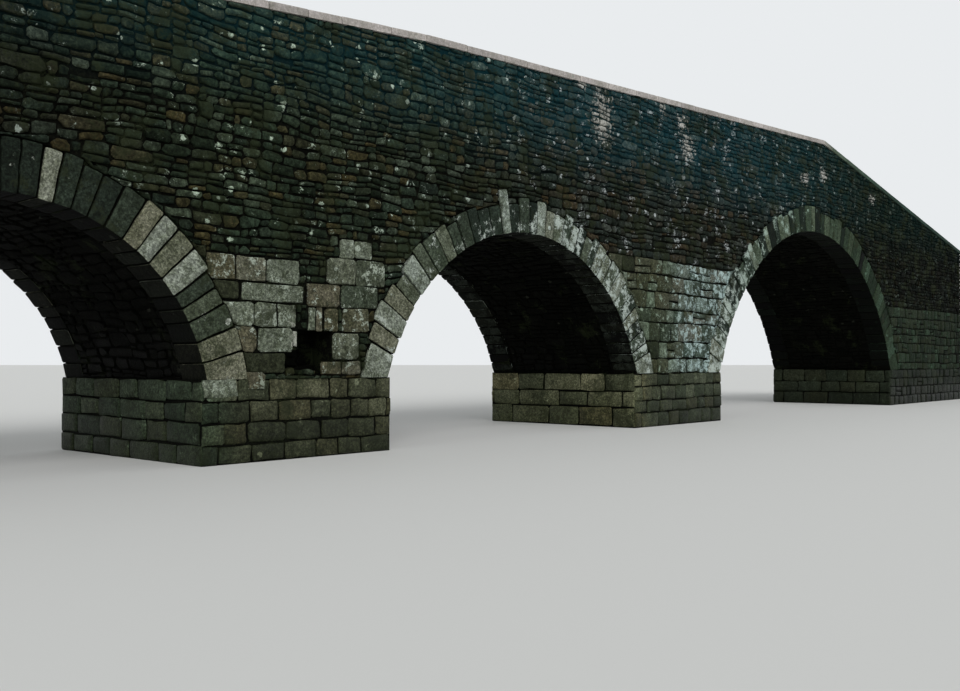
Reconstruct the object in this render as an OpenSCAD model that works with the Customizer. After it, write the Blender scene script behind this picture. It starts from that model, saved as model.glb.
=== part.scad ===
// Hump-backed stone bridge with three round arches.
// Millimetres. X runs along the bridge, Y across it, Z up from the foot of the piers.
// The origin is at the middle of the foot, between the ends and between the faces.

/* [Piers and spans] */
// Length of the left abutment
abutment_left_w = 4360; // [3000:10:7000]
// Clear span of the left arch at its springing
span_left = 4580; // [3800:10:5200]
// Width of the pier between the left and middle arches
pier_left_w = 2840; // [2400:10:4000]
// Clear span of the middle arch at its springing
span_middle = 6220; // [5400:10:7000]
// Width of the pier between the middle and right arches
pier_right_w = 3140; // [2600:10:4400]
// Clear span of the right arch at its springing
span_right = 9920; // [9000:10:10600]
// Length of the right abutment
abutment_right_w = 6540; // [4000:10:8000]

/* [Arches] */
// Rise of the left arch above its springing
rise_left = 1890; // [1600:10:2200]
// Rise of the middle arch above its springing
rise_middle = 2280; // [2000:10:2600]
// Rise of the right arch above its springing
rise_right = 3400; // [3000:10:3700]
// Height of the left arch's ring stones, soffit to back
ring_left_t = 560; // [400:10:700]
// Height of the middle arch's ring stones, soffit to back
ring_middle_t = 560; // [400:10:700]
// Height of the right arch's ring stones, soffit to back
ring_right_t = 620; // [400:10:700]
// How much lower the shortest ring stones of the left arch end
uneven_left = 50; // [0:5:90]
// How much lower the shortest ring stones of the middle arch end
uneven_middle = 110; // [0:5:150]
// How much lower the shortest ring stones of the right arch end
uneven_right = 120; // [0:5:160]
// Share by which the last stone at the middle arch's left foot is wider than usual
foot_gain = 0.5; // [0:0.05:0.8]
// How far the ring stones reach into the wall
ring_depth = 500; // [380:10:700]
// Usual width of a ring stone of the left arch at its soffit
stone_left_w = 210; // [150:5:320]
// Usual width of a ring stone of the middle arch at its soffit
stone_middle_w = 225; // [150:5:320]
// Usual width of a ring stone of the right arch at its soffit
stone_right_w = 265; // [180:5:400]
// How far the rubble vault stands back from the soffit of the ring stones
vault_setback = 30; // [10:5:60]
// Width of the joint between two ring stones
ring_joint_w = 14; // [6:1:24]
// Depth of the joint between two ring stones
ring_joint_d = 22; // [10:1:28]

/* [Piers] */
// Height of the squared base that each pier stands on
base_h = 1000; // [700:10:1300]
// How far a base stands out under the springing
base_ledge = 50; // [20:5:90]
// Height of a pier above its base
pier_h = 1800; // [1500:10:2000]

/* [Missing stones] */
// Distance of the lower hole from the left edge of its pier
hole_low_x = 1120; // [1000:10:1300]
// Width of the lower hole
hole_low_w = 720; // [300:10:760]
// Height of the lower hole
hole_low_h = 320; // [150:10:500]
// Height of the hole's sill above the base
hole_sill_h = 40; // [10:10:200]
// Distance of the upper hole from the left edge of its pier
hole_high_x = 1310; // [1200:10:1400]
// Width of the upper hole
hole_high_w = 560; // [200:10:600]
// Height of the upper hole
hole_high_h = 260; // [120:10:400]
// How deep the stones are gone
hole_depth = 400; // [200:10:600]

/* [Walls and road] */
// Width of the bridge over its two faces
bridge_w = 3450; // [2800:10:4400]
// Thickness of the face walls and parapets
wall_t = 450; // [350:10:600]
// Thickness of the road's paving
paving_t = 160; // [80:10:220]
// Height of a parapet wall above the road
parapet_h = 800; // [500:10:900]

/* [Coping] */
// Thickness of the coping slabs
coping_t = 100; // [60:5:160]
// How far the coping stands out over the outer face
coping_out = 50; // [10:5:100]
// How far the coping stands out over the road
coping_in = 30; // [10:5:80]
// Usual length of a coping slab
coping_slab = 680; // [400:10:1200]
// Width of the joint between two coping slabs
coping_joint_w = 10; // [4:1:20]
// Depth of the joint between two coping slabs
coping_joint_d = 16; // [6:1:24]

/* [Hump] */
// Height of the coping's top at the hump
hump_z = 6720; // [6600:10:7200]
// How far the hump lies to the right of the right arch's crown
hump_shift = 400; // [0:10:1200]
// Length of the gentler ramp to the left of the hump
ramp_middle_len = 14000; // [12000:10:16000]
// Fall of the gentler ramp, percent
fall_middle = 5.9; // [4:0.1:7]
// Fall of the left ramp, percent
fall_left = 9.7; // [6:0.1:11]
// Fall of the right ramp, percent
fall_right = 16.5; // [10:0.1:18]

/* [Hidden] */
$fn = 256;
// Gap left around the curved back of a ring or vault
seat_gap = 0.3;
// Blunt edge left where a flat meets the back of a ring
blunt = 8;
// How far below the back of the ring the tallest stones end on the face
back_edge = 5;
// Degrees by which the lowest stones run past the outer corner of the ring's foot
foot_slack = 0.5;
// Number of stones over which the wider ones at a foot shrink to the usual width
foot_run = 9;
// How far a cutting shape runs past what it cuts
over = 20;

// Stations along the bridge, from its left end to its right end
bridge_len = abutment_left_w + span_left + pier_left_w + span_middle
  + pier_right_w + span_right + abutment_right_w;
x_left = -bridge_len / 2;
x_right = bridge_len / 2;
left_x0 = x_left + abutment_left_w;
left_x1 = left_x0 + span_left;
middle_x0 = left_x1 + pier_left_w;
middle_x1 = middle_x0 + span_middle;
right_x0 = middle_x1 + pier_right_w;
right_x1 = right_x0 + span_right;

// Radius of an arch from its span and rise
function arch_radius(span, rise) = (span * span / 4 + rise * rise) / (2 * rise);

// An arch is [centre x, centre z, soffit radius, height of the ring stones, stone width,
// how much lower its shortest stones end, how much wider its left foot's last stone is]
function arch(x0, span, rise, ring_t, stone_w, uneven, gain) =
  let (r = arch_radius(span, rise))
  [x0 + span / 2, base_h + rise - r, r, ring_t, stone_w, uneven, gain];
arch_a = arch(left_x0, span_left, rise_left, ring_left_t, stone_left_w, uneven_left, 0);
arch_b = arch(middle_x0, span_middle, rise_middle, ring_middle_t, stone_middle_w, uneven_middle, foot_gain);
arch_c = arch(right_x0, span_right, rise_right, ring_right_t, stone_right_w, uneven_right, 0);
function arch_x(a) = a[0];
function arch_z(a) = a[1];
function arch_r(a) = a[2];
function arch_back_r(a) = a[2] + a[3];
function arch_stone_w(a) = a[4];
function arch_uneven(a) = a[5];
function arch_foot_gain(a) = a[6];
// Half the width over the back of a ring, at a height
function back_half(a, z) =
  let (dz = z - arch_z(a))
  sqrt(max(0, arch_back_r(a) * arch_back_r(a) - dz * dz));

// Angle at which the soffit leaves the base
function springing(a) = asin((base_h - arch_z(a)) / arch_r(a));
// Angle from which the foot of a ring is covered, just under its outer corner
function foot(a) = asin((base_h - arch_z(a)) / arch_back_r(a)) - foot_slack;
// Odd number of ring stones, with one at the crown
function ring_count(a) =
  2 * floor((180 - 2 * springing(a)) / 360 * PI * arch_r(a) / arch_stone_w(a)) + 1;

// Number from 0 to 1 that changes from one place to the next
function vary(i, seed) =
  let (v = sin(i * 127.1 + seed * 311.7) * 43.7)
  v - floor(v);
// Share of the ring that each stone takes, and where each joint falls
function stone_share(a, i, n, seed) =
  (0.78 + 0.44 * vary(i, seed)) * (1 + arch_foot_gain(a) * max(0, 1 - (n - 1 - i) / foot_run));
function share_sum(a, i, n, seed) =
  i < 1 ? 0 : stone_share(a, i - 1, n, seed) + share_sum(a, i - 1, n, seed);
function joint_angle(a, i, n, seed) =
  let (s = springing(a))
  s + (180 - 2 * s) * share_sum(a, i, n, seed) / share_sum(a, n, n, seed);
// How much lower than the back of the ring a stone ends
function stone_short(a, i, seed) = arch_uneven(a) * [0, 0.4, 1][floor(vary(i, seed + 5) * 2.99)];

// Hump, ramps and levels of the road
hump_x = arch_x(arch_c) + hump_shift;
break_x = hump_x - ramp_middle_len;
function coping_top(x) =
  x > hump_x ? hump_z - (x - hump_x) * fall_right / 100
  : x > break_x ? hump_z - (hump_x - x) * fall_middle / 100
  : hump_z - ramp_middle_len * fall_middle / 100 - (break_x - x) * fall_left / 100;
road_below = coping_t + parapet_h;
function ramp_points(x0, x1) =
  concat([x0], [for (x = [break_x, hump_x]) if (x > x0 && x < x1) x], [x1]);
pier_top = base_h + pier_h;
face_y = -bridge_w / 2;

// Extrudes an elevation across the bridge, from y0 to y1
module across(y0, y1) {
  translate([0, y1, 0]) rotate([90, 0, 0]) linear_extrude(height = y1 - y0) children();
}

// Front shape, or the same on the back face
module on_face(side) {
  if (side == "front") children();
  else mirror([0, 1, 0]) children();
}

// Elevation of a band between two depths below the coping's top
module ramp_band(x0, x1, deep, shallow) {
  xs = ramp_points(x0, x1);
  polygon(concat(
    [for (x = xs) [x, coping_top(x) - deep]],
    [for (i = [len(xs) - 1:-1:0]) [xs[i], coping_top(xs[i]) - shallow]]
  ));
}

// Elevation from the pier tops up to a depth below the coping's top
module above_piers(x0, x1, shallow) {
  xs = ramp_points(x0, x1);
  polygon(concat(
    [[x0, pier_top], [x1, pier_top]],
    [for (i = [len(xs) - 1:-1:0]) [xs[i], coping_top(xs[i]) - shallow]]
  ));
}

module disc(a, r) {
  translate([arch_x(a), arch_z(a)]) circle(r = r);
}

module above_springing(a) {
  half = back_half(a, base_h) - blunt;
  translate([arch_x(a) - half, base_h])
    square([2 * half, arch_back_r(a) + arch_z(a) - base_h + over]);
}

// Elevation of a stretch of masonry with the backs of its arches cut out
module around_arches(arches) {
  difference() {
    children();
    for (a = arches) disc(a, arch_back_r(a) + seat_gap);
  }
}

// One wedge stone of a ring, with its soffit edge run past the soffit
module ring_stone(a, i, n, seed) {
  half_joint = ring_joint_w / 2 / arch_r(a) * 180 / PI;
  from = i == 0 ? foot(a) : joint_angle(a, i, n, seed) + half_joint;
  to = i == n - 1 ? 180 - foot(a) : joint_angle(a, i + 1, n, seed) - half_joint;
  crown = i == (n - 1) / 2;
  top = arch_back_r(a) - back_edge - (crown ? 0 : stone_short(a, i, seed));
  low = arch_r(a) - over;
  translate([arch_x(a), arch_z(a)])
    polygon([
      for (p = [[low, from], [top, from], [top, to], [low, to]])
        [p[0] * cos(p[1]), p[0] * sin(p[1])]
    ]);
}

// Ring of wedge stones, with joints open on the face and on the soffit
module ring(side, a, seed, tone) {
  n = ring_count(a);
  color(tone) on_face(side) {
    across(face_y, face_y + ring_depth) intersection() {
      difference() {
        union() for (i = [0:n - 1]) ring_stone(a, i, n, seed);
        disc(a, arch_r(a));
      }
      above_springing(a);
    }
    across(face_y + ring_joint_d, face_y + ring_depth) intersection() {
      difference() {
        disc(a, arch_back_r(a));
        disc(a, arch_r(a) + ring_joint_d);
      }
      above_springing(a);
    }
  }
}

// Rubble vault between the front and back rings
module vault(a) {
  color("#4a4a42") across(face_y + ring_depth, -face_y - ring_depth) intersection() {
    difference() {
      disc(a, arch_back_r(a));
      disc(a, arch_r(a) + vault_setback);
    }
    above_springing(a);
  }
}

// Squared base, standing out under the springing where an arch meets it
module base(x0, x1) {
  from = x0 > x_left ? x0 - base_ledge : x0;
  to = x1 < x_right ? x1 + base_ledge : x1;
  color("#8d8778") across(face_y, -face_y)
    translate([from, 0]) square([to - from, base_h]);
}

// Body of a pier or abutment, up to where the face walls start
module pier(x0, x1, arches) {
  color("#7d786a") across(face_y, -face_y) around_arches(arches)
    translate([x0, base_h]) square([x1 - x0, pier_h]);
}

// Hole where face stones are gone, wider below than above
module missing_stones() {
  z0 = base_h + hole_sill_h;
  across(face_y - over, face_y + hole_depth) {
    translate([left_x1 + hole_low_x, z0]) square([hole_low_w, hole_low_h]);
    translate([left_x1 + hole_high_x, z0]) square([hole_high_w, hole_low_h + hole_high_h]);
  }
}

// Face wall between the pier tops and the road
module wall(side, x0, x1, arches) {
  color("#4d4f47") on_face(side) across(face_y, face_y + wall_t)
    around_arches(arches) above_piers(x0, x1, road_below);
}

// Rubble and earth between the face walls
module fill(x0, x1, arches) {
  color("#57503f") across(face_y + wall_t, -face_y - wall_t)
    around_arches(arches) above_piers(x0, x1, road_below + paving_t);
}

// Paving of one ramp
module road(x0, x1) {
  color("#77746a") across(face_y + wall_t, -face_y - wall_t)
    ramp_band(x0, x1, road_below + paving_t, road_below);
}

// Parapet wall of one ramp
module parapet(side, x0, x1) {
  color("#4b5150") on_face(side) across(face_y, face_y + wall_t)
    ramp_band(x0, x1, road_below, coping_t);
}

// Coping of one ramp, with open joints between its slabs
module coping(side, x0, x1) {
  n = max(1, round((x1 - x0) / coping_slab));
  step = (x1 - x0) / n;
  half = coping_joint_w / 2;
  y0 = face_y - coping_out;
  y1 = face_y + wall_t + coping_in;
  color("#b3aaa2") on_face(side) {
    for (i = [0:n - 1])
      across(y0, y1) ramp_band(
        x0 + i * step + (i == 0 ? 0 : half),
        x0 + (i + 1) * step - (i == n - 1 ? 0 : half), coping_t, 0);
    across(y0 + coping_joint_d, y1 - coping_joint_d)
      ramp_band(x0, x1, coping_t, coping_joint_d);
  }
}

module abutment_base_left() base(x_left, left_x0);
module pier_base_left() base(left_x1, middle_x0);
module pier_base_right() base(middle_x1, right_x0);
module abutment_base_right() base(right_x1, x_right);
// Ends of a pier's flat top, on the left and right of an arch
function toe_left(a) = arch_x(a) - back_half(a, pier_top) - blunt;
function toe_right(a) = arch_x(a) + back_half(a, pier_top) + blunt;
module abutment_left() pier(x_left, toe_left(arch_a), [arch_a]);
module pier_left() difference() {
  pier(toe_right(arch_a), toe_left(arch_b), [arch_a, arch_b]);
  missing_stones();
}
module pier_right() pier(toe_right(arch_b), toe_left(arch_c), [arch_b, arch_c]);
module abutment_right() pier(toe_right(arch_c), x_right, [arch_c]);

abutment_base_left();
pier_base_left();
pier_base_right();
abutment_base_right();
abutment_left();
pier_left();
pier_right();
abutment_right();
ring("front", arch_a, 1, "#8f8a7c");  // ring_front_left
ring("front", arch_b, 2, "#8a867a");  // ring_front_middle
ring("front", arch_c, 3, "#7f7c72");  // ring_front_right
ring("back", arch_a, 1, "#8f8a7c");  // ring_back_left
ring("back", arch_b, 2, "#8a867a");  // ring_back_middle
ring("back", arch_c, 3, "#7f7c72");  // ring_back_right
vault(arch_a);  // vault_left
vault(arch_b);  // vault_middle
vault(arch_c);  // vault_right
wall("front", x_left, arch_x(arch_a), [arch_a]);  // wall_front_left_end
wall("front", arch_x(arch_a), arch_x(arch_b), [arch_a, arch_b]);  // wall_front_left
wall("front", arch_x(arch_b), arch_x(arch_c), [arch_b, arch_c]);  // wall_front_right
wall("front", arch_x(arch_c), x_right, [arch_c]);  // wall_front_right_end
wall("back", x_left, arch_x(arch_a), [arch_a]);  // wall_back_left_end
wall("back", arch_x(arch_a), arch_x(arch_b), [arch_a, arch_b]);  // wall_back_left
wall("back", arch_x(arch_b), arch_x(arch_c), [arch_b, arch_c]);  // wall_back_right
wall("back", arch_x(arch_c), x_right, [arch_c]);  // wall_back_right_end
fill(x_left, arch_x(arch_a), [arch_a]);  // fill_left_end
fill(arch_x(arch_a), arch_x(arch_b), [arch_a, arch_b]);  // fill_left
fill(arch_x(arch_b), arch_x(arch_c), [arch_b, arch_c]);  // fill_right
fill(arch_x(arch_c), x_right, [arch_c]);  // fill_right_end
road(x_left, break_x);  // road_left
road(break_x, hump_x);  // road_middle
road(hump_x, x_right);  // road_right
parapet("front", x_left, break_x);  // parapet_front_left
parapet("front", break_x, hump_x);  // parapet_front_middle
parapet("front", hump_x, x_right);  // parapet_front_right
parapet("back", x_left, break_x);  // parapet_back_left
parapet("back", break_x, hump_x);  // parapet_back_middle
parapet("back", hump_x, x_right);  // parapet_back_right
coping("front", x_left, break_x);  // coping_front_left
coping("front", break_x, hump_x);  // coping_front_middle
coping("front", hump_x, x_right);  // coping_front_right
coping("back", x_left, break_x);  // coping_back_left
coping("back", break_x, hump_x);  // coping_back_middle
coping("back", hump_x, x_right);  // coping_back_right
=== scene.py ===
# Hump-backed stone bridge: its separate stones, slabs, finishes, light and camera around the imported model.
import math
import random

import bpy
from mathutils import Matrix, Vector, noise


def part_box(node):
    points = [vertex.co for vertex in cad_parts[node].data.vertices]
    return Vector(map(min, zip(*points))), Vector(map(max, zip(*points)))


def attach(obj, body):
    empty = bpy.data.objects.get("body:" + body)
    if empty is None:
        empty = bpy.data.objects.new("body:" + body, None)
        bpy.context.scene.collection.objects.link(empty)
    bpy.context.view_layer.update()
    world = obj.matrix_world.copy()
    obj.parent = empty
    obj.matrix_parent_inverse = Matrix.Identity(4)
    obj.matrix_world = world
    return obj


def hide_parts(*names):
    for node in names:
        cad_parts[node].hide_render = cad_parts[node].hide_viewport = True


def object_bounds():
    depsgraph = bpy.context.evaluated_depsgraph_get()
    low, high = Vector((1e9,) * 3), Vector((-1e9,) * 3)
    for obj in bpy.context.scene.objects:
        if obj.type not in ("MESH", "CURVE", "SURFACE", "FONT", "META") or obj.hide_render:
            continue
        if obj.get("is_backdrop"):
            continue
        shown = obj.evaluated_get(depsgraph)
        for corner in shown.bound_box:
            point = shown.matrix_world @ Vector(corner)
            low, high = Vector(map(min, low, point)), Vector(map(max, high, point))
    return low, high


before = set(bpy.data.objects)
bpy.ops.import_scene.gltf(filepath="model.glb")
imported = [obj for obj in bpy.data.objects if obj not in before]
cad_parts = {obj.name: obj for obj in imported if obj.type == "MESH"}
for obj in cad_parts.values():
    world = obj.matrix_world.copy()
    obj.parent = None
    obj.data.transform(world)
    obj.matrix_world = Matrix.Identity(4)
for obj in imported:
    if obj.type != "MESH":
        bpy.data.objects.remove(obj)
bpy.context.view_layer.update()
print("frame loaded:", len(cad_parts), "nodes")

# Levels and lengths read from the frame, metres
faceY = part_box("wall_front_left")[0].y
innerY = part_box("wall_front_left")[1].y
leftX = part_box("abutment_left")[0].x
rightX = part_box("abutment_right")[1].x
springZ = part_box("pier_base_left")[1].z
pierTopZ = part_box("pier_left")[1].z
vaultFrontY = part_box("vault_left")[0].y
baseLedge = 0.05     # how far a base stands out under the springing
copingThick = 0.1
parapetHigh = 0.8
backEdge = 0.005     # the tallest ring stones end this far below the back of the ring
rampEnds = [          # top of the coping at the ends of the three ramps
    (leftX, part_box("coping_front_left")[0].z + copingThick),
    (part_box("coping_front_left")[1].x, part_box("coping_front_left")[1].z),
    (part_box("coping_front_middle")[1].x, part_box("coping_front_middle")[1].z),
    (rightX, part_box("coping_front_right")[0].z + copingThick),
]


def copingTop(x):
    for (x0, z0), (x1, z1) in zip(rampEnds, rampEnds[1:]):
        if x <= x1 or x1 == rightX:
            return z0 + (z1 - z0) * (x - x0) / (x1 - x0)


# Arches, with the same joints as in the solid rings
archSettings = {
    "left": {"banks": ("abutment_base_left", "pier_base_left"), "ringHeight": 0.56, "stoneWidth": 0.21,
             "uneven": 0.05, "footGain": 0.0, "seed": 1},
    "middle": {"banks": ("pier_base_left", "pier_base_right"), "ringHeight": 0.56, "stoneWidth": 0.225,
               "uneven": 0.11, "footGain": 0.5, "seed": 2, "tall": {22: 0.17}},
    "right": {"banks": ("pier_base_right", "abutment_base_right"), "ringHeight": 0.62, "stoneWidth": 0.265,
              "uneven": 0.12, "footGain": 0.0, "seed": 3},
}
footRun = 9                      # stones over which the wider ones at a foot shrink to the usual width
narrowest = 0.78                 # least share of the usual width
widthSpread = 0.44               # what chance adds to it
shortSteps = (0.0, 0.4, 1.0)     # shares of the ring's unevenness by which its stones end short


def vary(i, seed):
    # Number from 0 to 1 that changes from one stone to the next
    value = math.sin(math.radians(i * 127.1 + seed * 311.7)) * 43.7
    return value - math.floor(value)


def ringLayout(arch):
    # Angles of the joints from the right foot to the left one, and how far out each stone ends
    sweep = math.pi - 2 * arch["springing"]
    count = 2 * math.floor(sweep / 2 * arch["radius"] / arch["stoneWidth"]) + 1
    shares = []
    for i in range(count):
        gain = 1 + arch["footGain"] * max(0.0, 1 - (count - 1 - i) / footRun)
        shares.append((narrowest + widthSpread * vary(i, arch["seed"])) * gain)
    joints = [arch["springing"]]
    for share in shares:
        joints.append(joints[-1] + sweep * share / sum(shares))
    shorts = [arch["uneven"] * shortSteps[int(vary(i, arch["seed"] + 5) * 2.99)] for i in range(count)]
    shorts[count // 2] = 0.0
    return joints, [arch["back"] - backEdge - short for short in shorts]


def archFromFrame(name, settings):
    leftBank, rightBank = settings["banks"]
    x0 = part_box(leftBank)[1].x - baseLedge
    x1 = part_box(rightBank)[0].x + baseLedge
    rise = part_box("ring_front_" + name)[1].z - settings["ringHeight"] - springZ
    radius = ((x1 - x0) ** 2 / 4 + rise ** 2) / (2 * rise)
    arch = dict(settings, name=name, x1=x1, x=(x0 + x1) / 2, z=springZ + rise - radius, radius=radius)
    arch["back"] = radius + settings["ringHeight"]
    arch["springing"] = math.asin((springZ - arch["z"]) / radius)
    arch["joints"], arch["outer"] = ringLayout(arch)
    return arch


arches = {name: archFromFrame(name, settings) for name, settings in archSettings.items()}

# Camera
cameraSettings = {"place": (-16.3, -11.725, 1.2), "turnRight": 48.23, "tiltUp": 0.994, "lens": 37.16,
                  "sensor": 36.0, "farthest": 500.0}


def placeCamera(s):
    data = bpy.data.cameras.new("camera")
    data.lens = s["lens"]
    data.sensor_width = s["sensor"]
    data.clip_end = s["farthest"]
    camera = bpy.data.objects.new("camera", data)
    camera.location = s["place"]
    camera.rotation_euler = (math.radians(90 + s["tiltUp"]), 0, math.radians(-s["turnRight"]))
    bpy.context.scene.collection.objects.link(camera)
    bpy.context.scene.camera = camera


placeCamera(cameraSettings)
print("camera placed")


# Helpers for node trees
def put(tree, kind, inputs=None, **settings):
    node = tree.nodes.new(kind)
    for key, value in settings.items():
        setattr(node, key, value)
    for key, value in (inputs or {}).items():
        feed(tree, node.inputs[key], value)
    return node


def feed(tree, socket, value):
    if isinstance(value, bpy.types.NodeSocket):
        tree.links.new(value, socket)
    else:
        socket.default_value = value


def calc(tree, operation, *values):
    node = put(tree, "ShaderNodeMath", operation=operation)
    for socket, value in zip(node.inputs, values):
        feed(tree, socket, value)
    return node.outputs[0]


def times(tree, first, second):
    return calc(tree, "MULTIPLY", first, second)


def vectorCalc(tree, operation, *values, scale=None, out="Vector"):
    node = put(tree, "ShaderNodeVectorMath", operation=operation)
    for socket, value in zip(node.inputs, values):
        feed(tree, socket, value)
    if scale is not None:
        feed(tree, node.inputs["Scale"], scale)
    return node.outputs[out]


def split(tree, vector):
    return put(tree, "ShaderNodeSeparateXYZ", {"Vector": vector}).outputs


def combine(tree, x, y, z):
    return put(tree, "ShaderNodeCombineXYZ", {0: x, 1: y, 2: z}).outputs[0]


def newGroup(name, kind, inputs, outputs, outType="Float"):
    # Each input has its starting number, or else the name of its type
    tree = bpy.data.node_groups.new(name, kind)
    for label, value in inputs.items():
        socketType = {float: "Float", int: "Int"}.get(type(value), value)
        socket = tree.interface.new_socket(label, in_out="INPUT", socket_type="NodeSocket" + socketType)
        if socketType != value:
            socket.default_value = value
    for label in outputs:
        tree.interface.new_socket(label, in_out="OUTPUT", socket_type="NodeSocket" + outType)
    return tree, tree.nodes.new("NodeGroupInput").outputs, tree.nodes.new("NodeGroupOutput").inputs


def named(tree, name, dataType="FLOAT"):
    node = put(tree, "GeometryNodeInputNamedAttribute", {"Name": name}, data_type=dataType)
    return node.outputs["Attribute"]


def store(tree, geometry, name, value, dataType="FLOAT", domain="POINT", selection=True):
    node = put(tree, "GeometryNodeStoreNamedAttribute",
               {"Geometry": geometry, "Selection": selection, "Name": name, "Value": value},
               data_type=dataType, domain=domain)
    return node.outputs["Geometry"]


def pointPlace(tree):
    return put(tree, "GeometryNodeInputPosition").outputs[0]


def movePoints(tree, geometry, **inputs):
    # Moves points to Position or by Offset, all of them or those of a Selection
    return put(tree, "GeometryNodeSetPosition", {"Geometry": geometry, **inputs}).outputs["Geometry"]


# Finishes
def paint(code):
    # Linear colour of a written one
    channels = [int(code[i:i + 2], 16) / 255 for i in (1, 3, 5)]
    return (*(c / 12.92 if c <= 0.04045 else ((c + 0.055) / 1.055) ** 2.4 for c in channels), 1.0)


def rampNode(tree, factor, stops):
    # Each stop is a place, then one level or red, green and blue
    node = put(tree, "ShaderNodeValToRGB", {"Fac": factor})
    ramp = node.color_ramp
    while len(ramp.elements) < len(stops):
        ramp.elements.new(1.0)
    for element, (place, *levels) in zip(ramp.elements, stops):
        element.position = place
        element.color = (*(levels if len(levels) == 3 else levels * 3), 1.0)
    return node.outputs["Color"]


def mixColour(tree, factor, first, second, blend="MIX"):
    # Sockets 6 and 7 and output 2 are the ones for colours
    node = put(tree, "ShaderNodeMix", {0: factor, 6: first, 7: second}, data_type="RGBA", blend_type=blend)
    return node.outputs[2]


def shaded(tree, factor, colour, tint):
    return mixColour(tree, factor, colour, tint, "MULTIPLY")


def softStep(tree, value, low, high, toLow=0.0, toHigh=1.0):
    node = put(tree, "ShaderNodeMapRange", interpolation_type="SMOOTHSTEP")
    for socket, number in zip(node.inputs, (value, low, high, toLow, toHigh)):
        feed(tree, socket, number)
    return node.outputs["Result"]


def cloud(tree, vector, scale, detail=4.0, roughness=0.6):
    return put(tree, "ShaderNodeTexNoise",
               {"Vector": vector, "Scale": scale, "Detail": detail, "Roughness": roughness}).outputs


def grainGroup():
    # Crystals, blotches and clouds of colour, and the small relief of weathered stone
    tree, given, result = newGroup(
        "stoneGrain", "ShaderNodeTree",
        {"Vector": "Vector", "Grain Scale": 60.0, "Blotch Scale": 18.0, "Cloud Scale": 3.0},
        ("Grain", "Blotches", "Clouds", "Stains", "Relief"))
    vector, grainScale = given["Vector"], given["Grain Scale"]
    fine = cloud(tree, vector, grainScale, 5.0, 0.7)["Fac"]
    blotches = cloud(tree, vector, given["Blotch Scale"], 8.0, 0.78)["Fac"]
    clouds = cloud(tree, vector, given["Cloud Scale"], 5.0, 0.62)["Fac"]
    stains = cloud(tree, vector, times(tree, given["Cloud Scale"], 2.2), 5.0, 0.68)["Fac"]
    lumps = cloud(tree, vector, times(tree, grainScale, 0.2), 7.0, 0.62)["Fac"]
    cells = put(tree, "ShaderNodeTexVoronoi",
                {"Vector": vector, "Scale": times(tree, grainScale, 0.8)}).outputs
    crystal = times(tree, cells["Distance"], 0.5)
    feed(tree, result["Grain"], softStep(tree, calc(tree, "ADD", fine, crystal), 0.42, 0.98))
    feed(tree, result["Blotches"], softStep(tree, blotches, 0.4, 0.63))
    feed(tree, result["Clouds"], softStep(tree, clouds, 0.32, 0.68))
    feed(tree, result["Stains"], softStep(tree, stains, 0.48, 0.58))
    small = calc(tree, "MULTIPLY_ADD", blotches, 1.1, times(tree, fine, 0.3))
    feed(tree, result["Relief"], calc(tree, "ADD", lumps, small))
    return tree


def lichenGroup():
    # Crusts that close up as the cover grows, and round spots that stand apart
    tree, given, result = newGroup(
        "lichenPatches", "ShaderNodeTree",
        {"Vector": "Vector", "Cover": 0.3, "Patch Scale": 6.0, "Spot Share": 0.2}, ("Mask", "Relief"))
    wander = cloud(tree, given["Vector"], 13.0)["Color"]
    bent = vectorCalc(tree, "ADD", given["Vector"], vectorCalc(tree, "SCALE", wander, scale=0.1))
    patches = cloud(tree, bent, given["Patch Scale"], 6.0, 0.68)["Fac"]
    crumbs = cloud(tree, bent, 46.0, 3.0)["Fac"]
    height = calc(tree, "ADD", times(tree, patches, 0.75), times(tree, crumbs, 0.25))
    threshold = calc(tree, "MULTIPLY_ADD", given["Cover"], -0.42, 0.72)
    crust = softStep(tree, height, calc(tree, "SUBTRACT", threshold, 0.025),
                     calc(tree, "ADD", threshold, 0.03))
    cells = put(tree, "ShaderNodeTexVoronoi", {"Vector": bent, "Scale": 6.5, "Randomness": 1.0}).outputs
    chance = put(tree, "ShaderNodeSeparateColor", {"Color": cells["Color"]}).outputs
    chosen = calc(tree, "LESS_THAN", chance[0], given["Spot Share"])
    reach = calc(tree, "MULTIPLY_ADD", chance[1], 0.22, 0.1)
    ragged = calc(tree, "MULTIPLY_ADD", crumbs, 0.3, calc(tree, "ADD", cells["Distance"], -0.15))
    spot = softStep(tree, ragged, times(tree, reach, 0.75), reach, 1.0, 0.0)
    mask = calc(tree, "MAXIMUM", crust, times(tree, chosen, spot))
    feed(tree, result["Mask"], mask)
    feed(tree, result["Relief"], times(tree, mask, crumbs))
    return tree


def dampGroup():
    # Dark wet band over the foot, and stains that run down the face
    tree, given, result = newGroup(
        "dampStains", "ShaderNodeTree",
        {"Vector": "Vector", "Damp Height": 0.8, "Streak Amount": 0.5}, ("Damp", "Streaks"))
    height = split(tree, given["Vector"])["Z"]
    level = calc(tree, "MULTIPLY_ADD", cloud(tree, given["Vector"], 1.6, 5.0)["Fac"], -0.9, height)
    low = calc(tree, "SUBTRACT", given["Damp Height"], 0.75)
    feed(tree, result["Damp"], softStep(tree, level, low, calc(tree, "ADD", low, 0.5), 1.0, 0.0))
    drawn = vectorCalc(tree, "MULTIPLY", given["Vector"], (2.6, 2.6, 0.28))
    streaks = softStep(tree, cloud(tree, drawn, 1.0, 6.0)["Fac"], 0.5, 0.68)
    feed(tree, result["Streaks"], times(tree, streaks, given["Streak Amount"]))
    return tree


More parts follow.
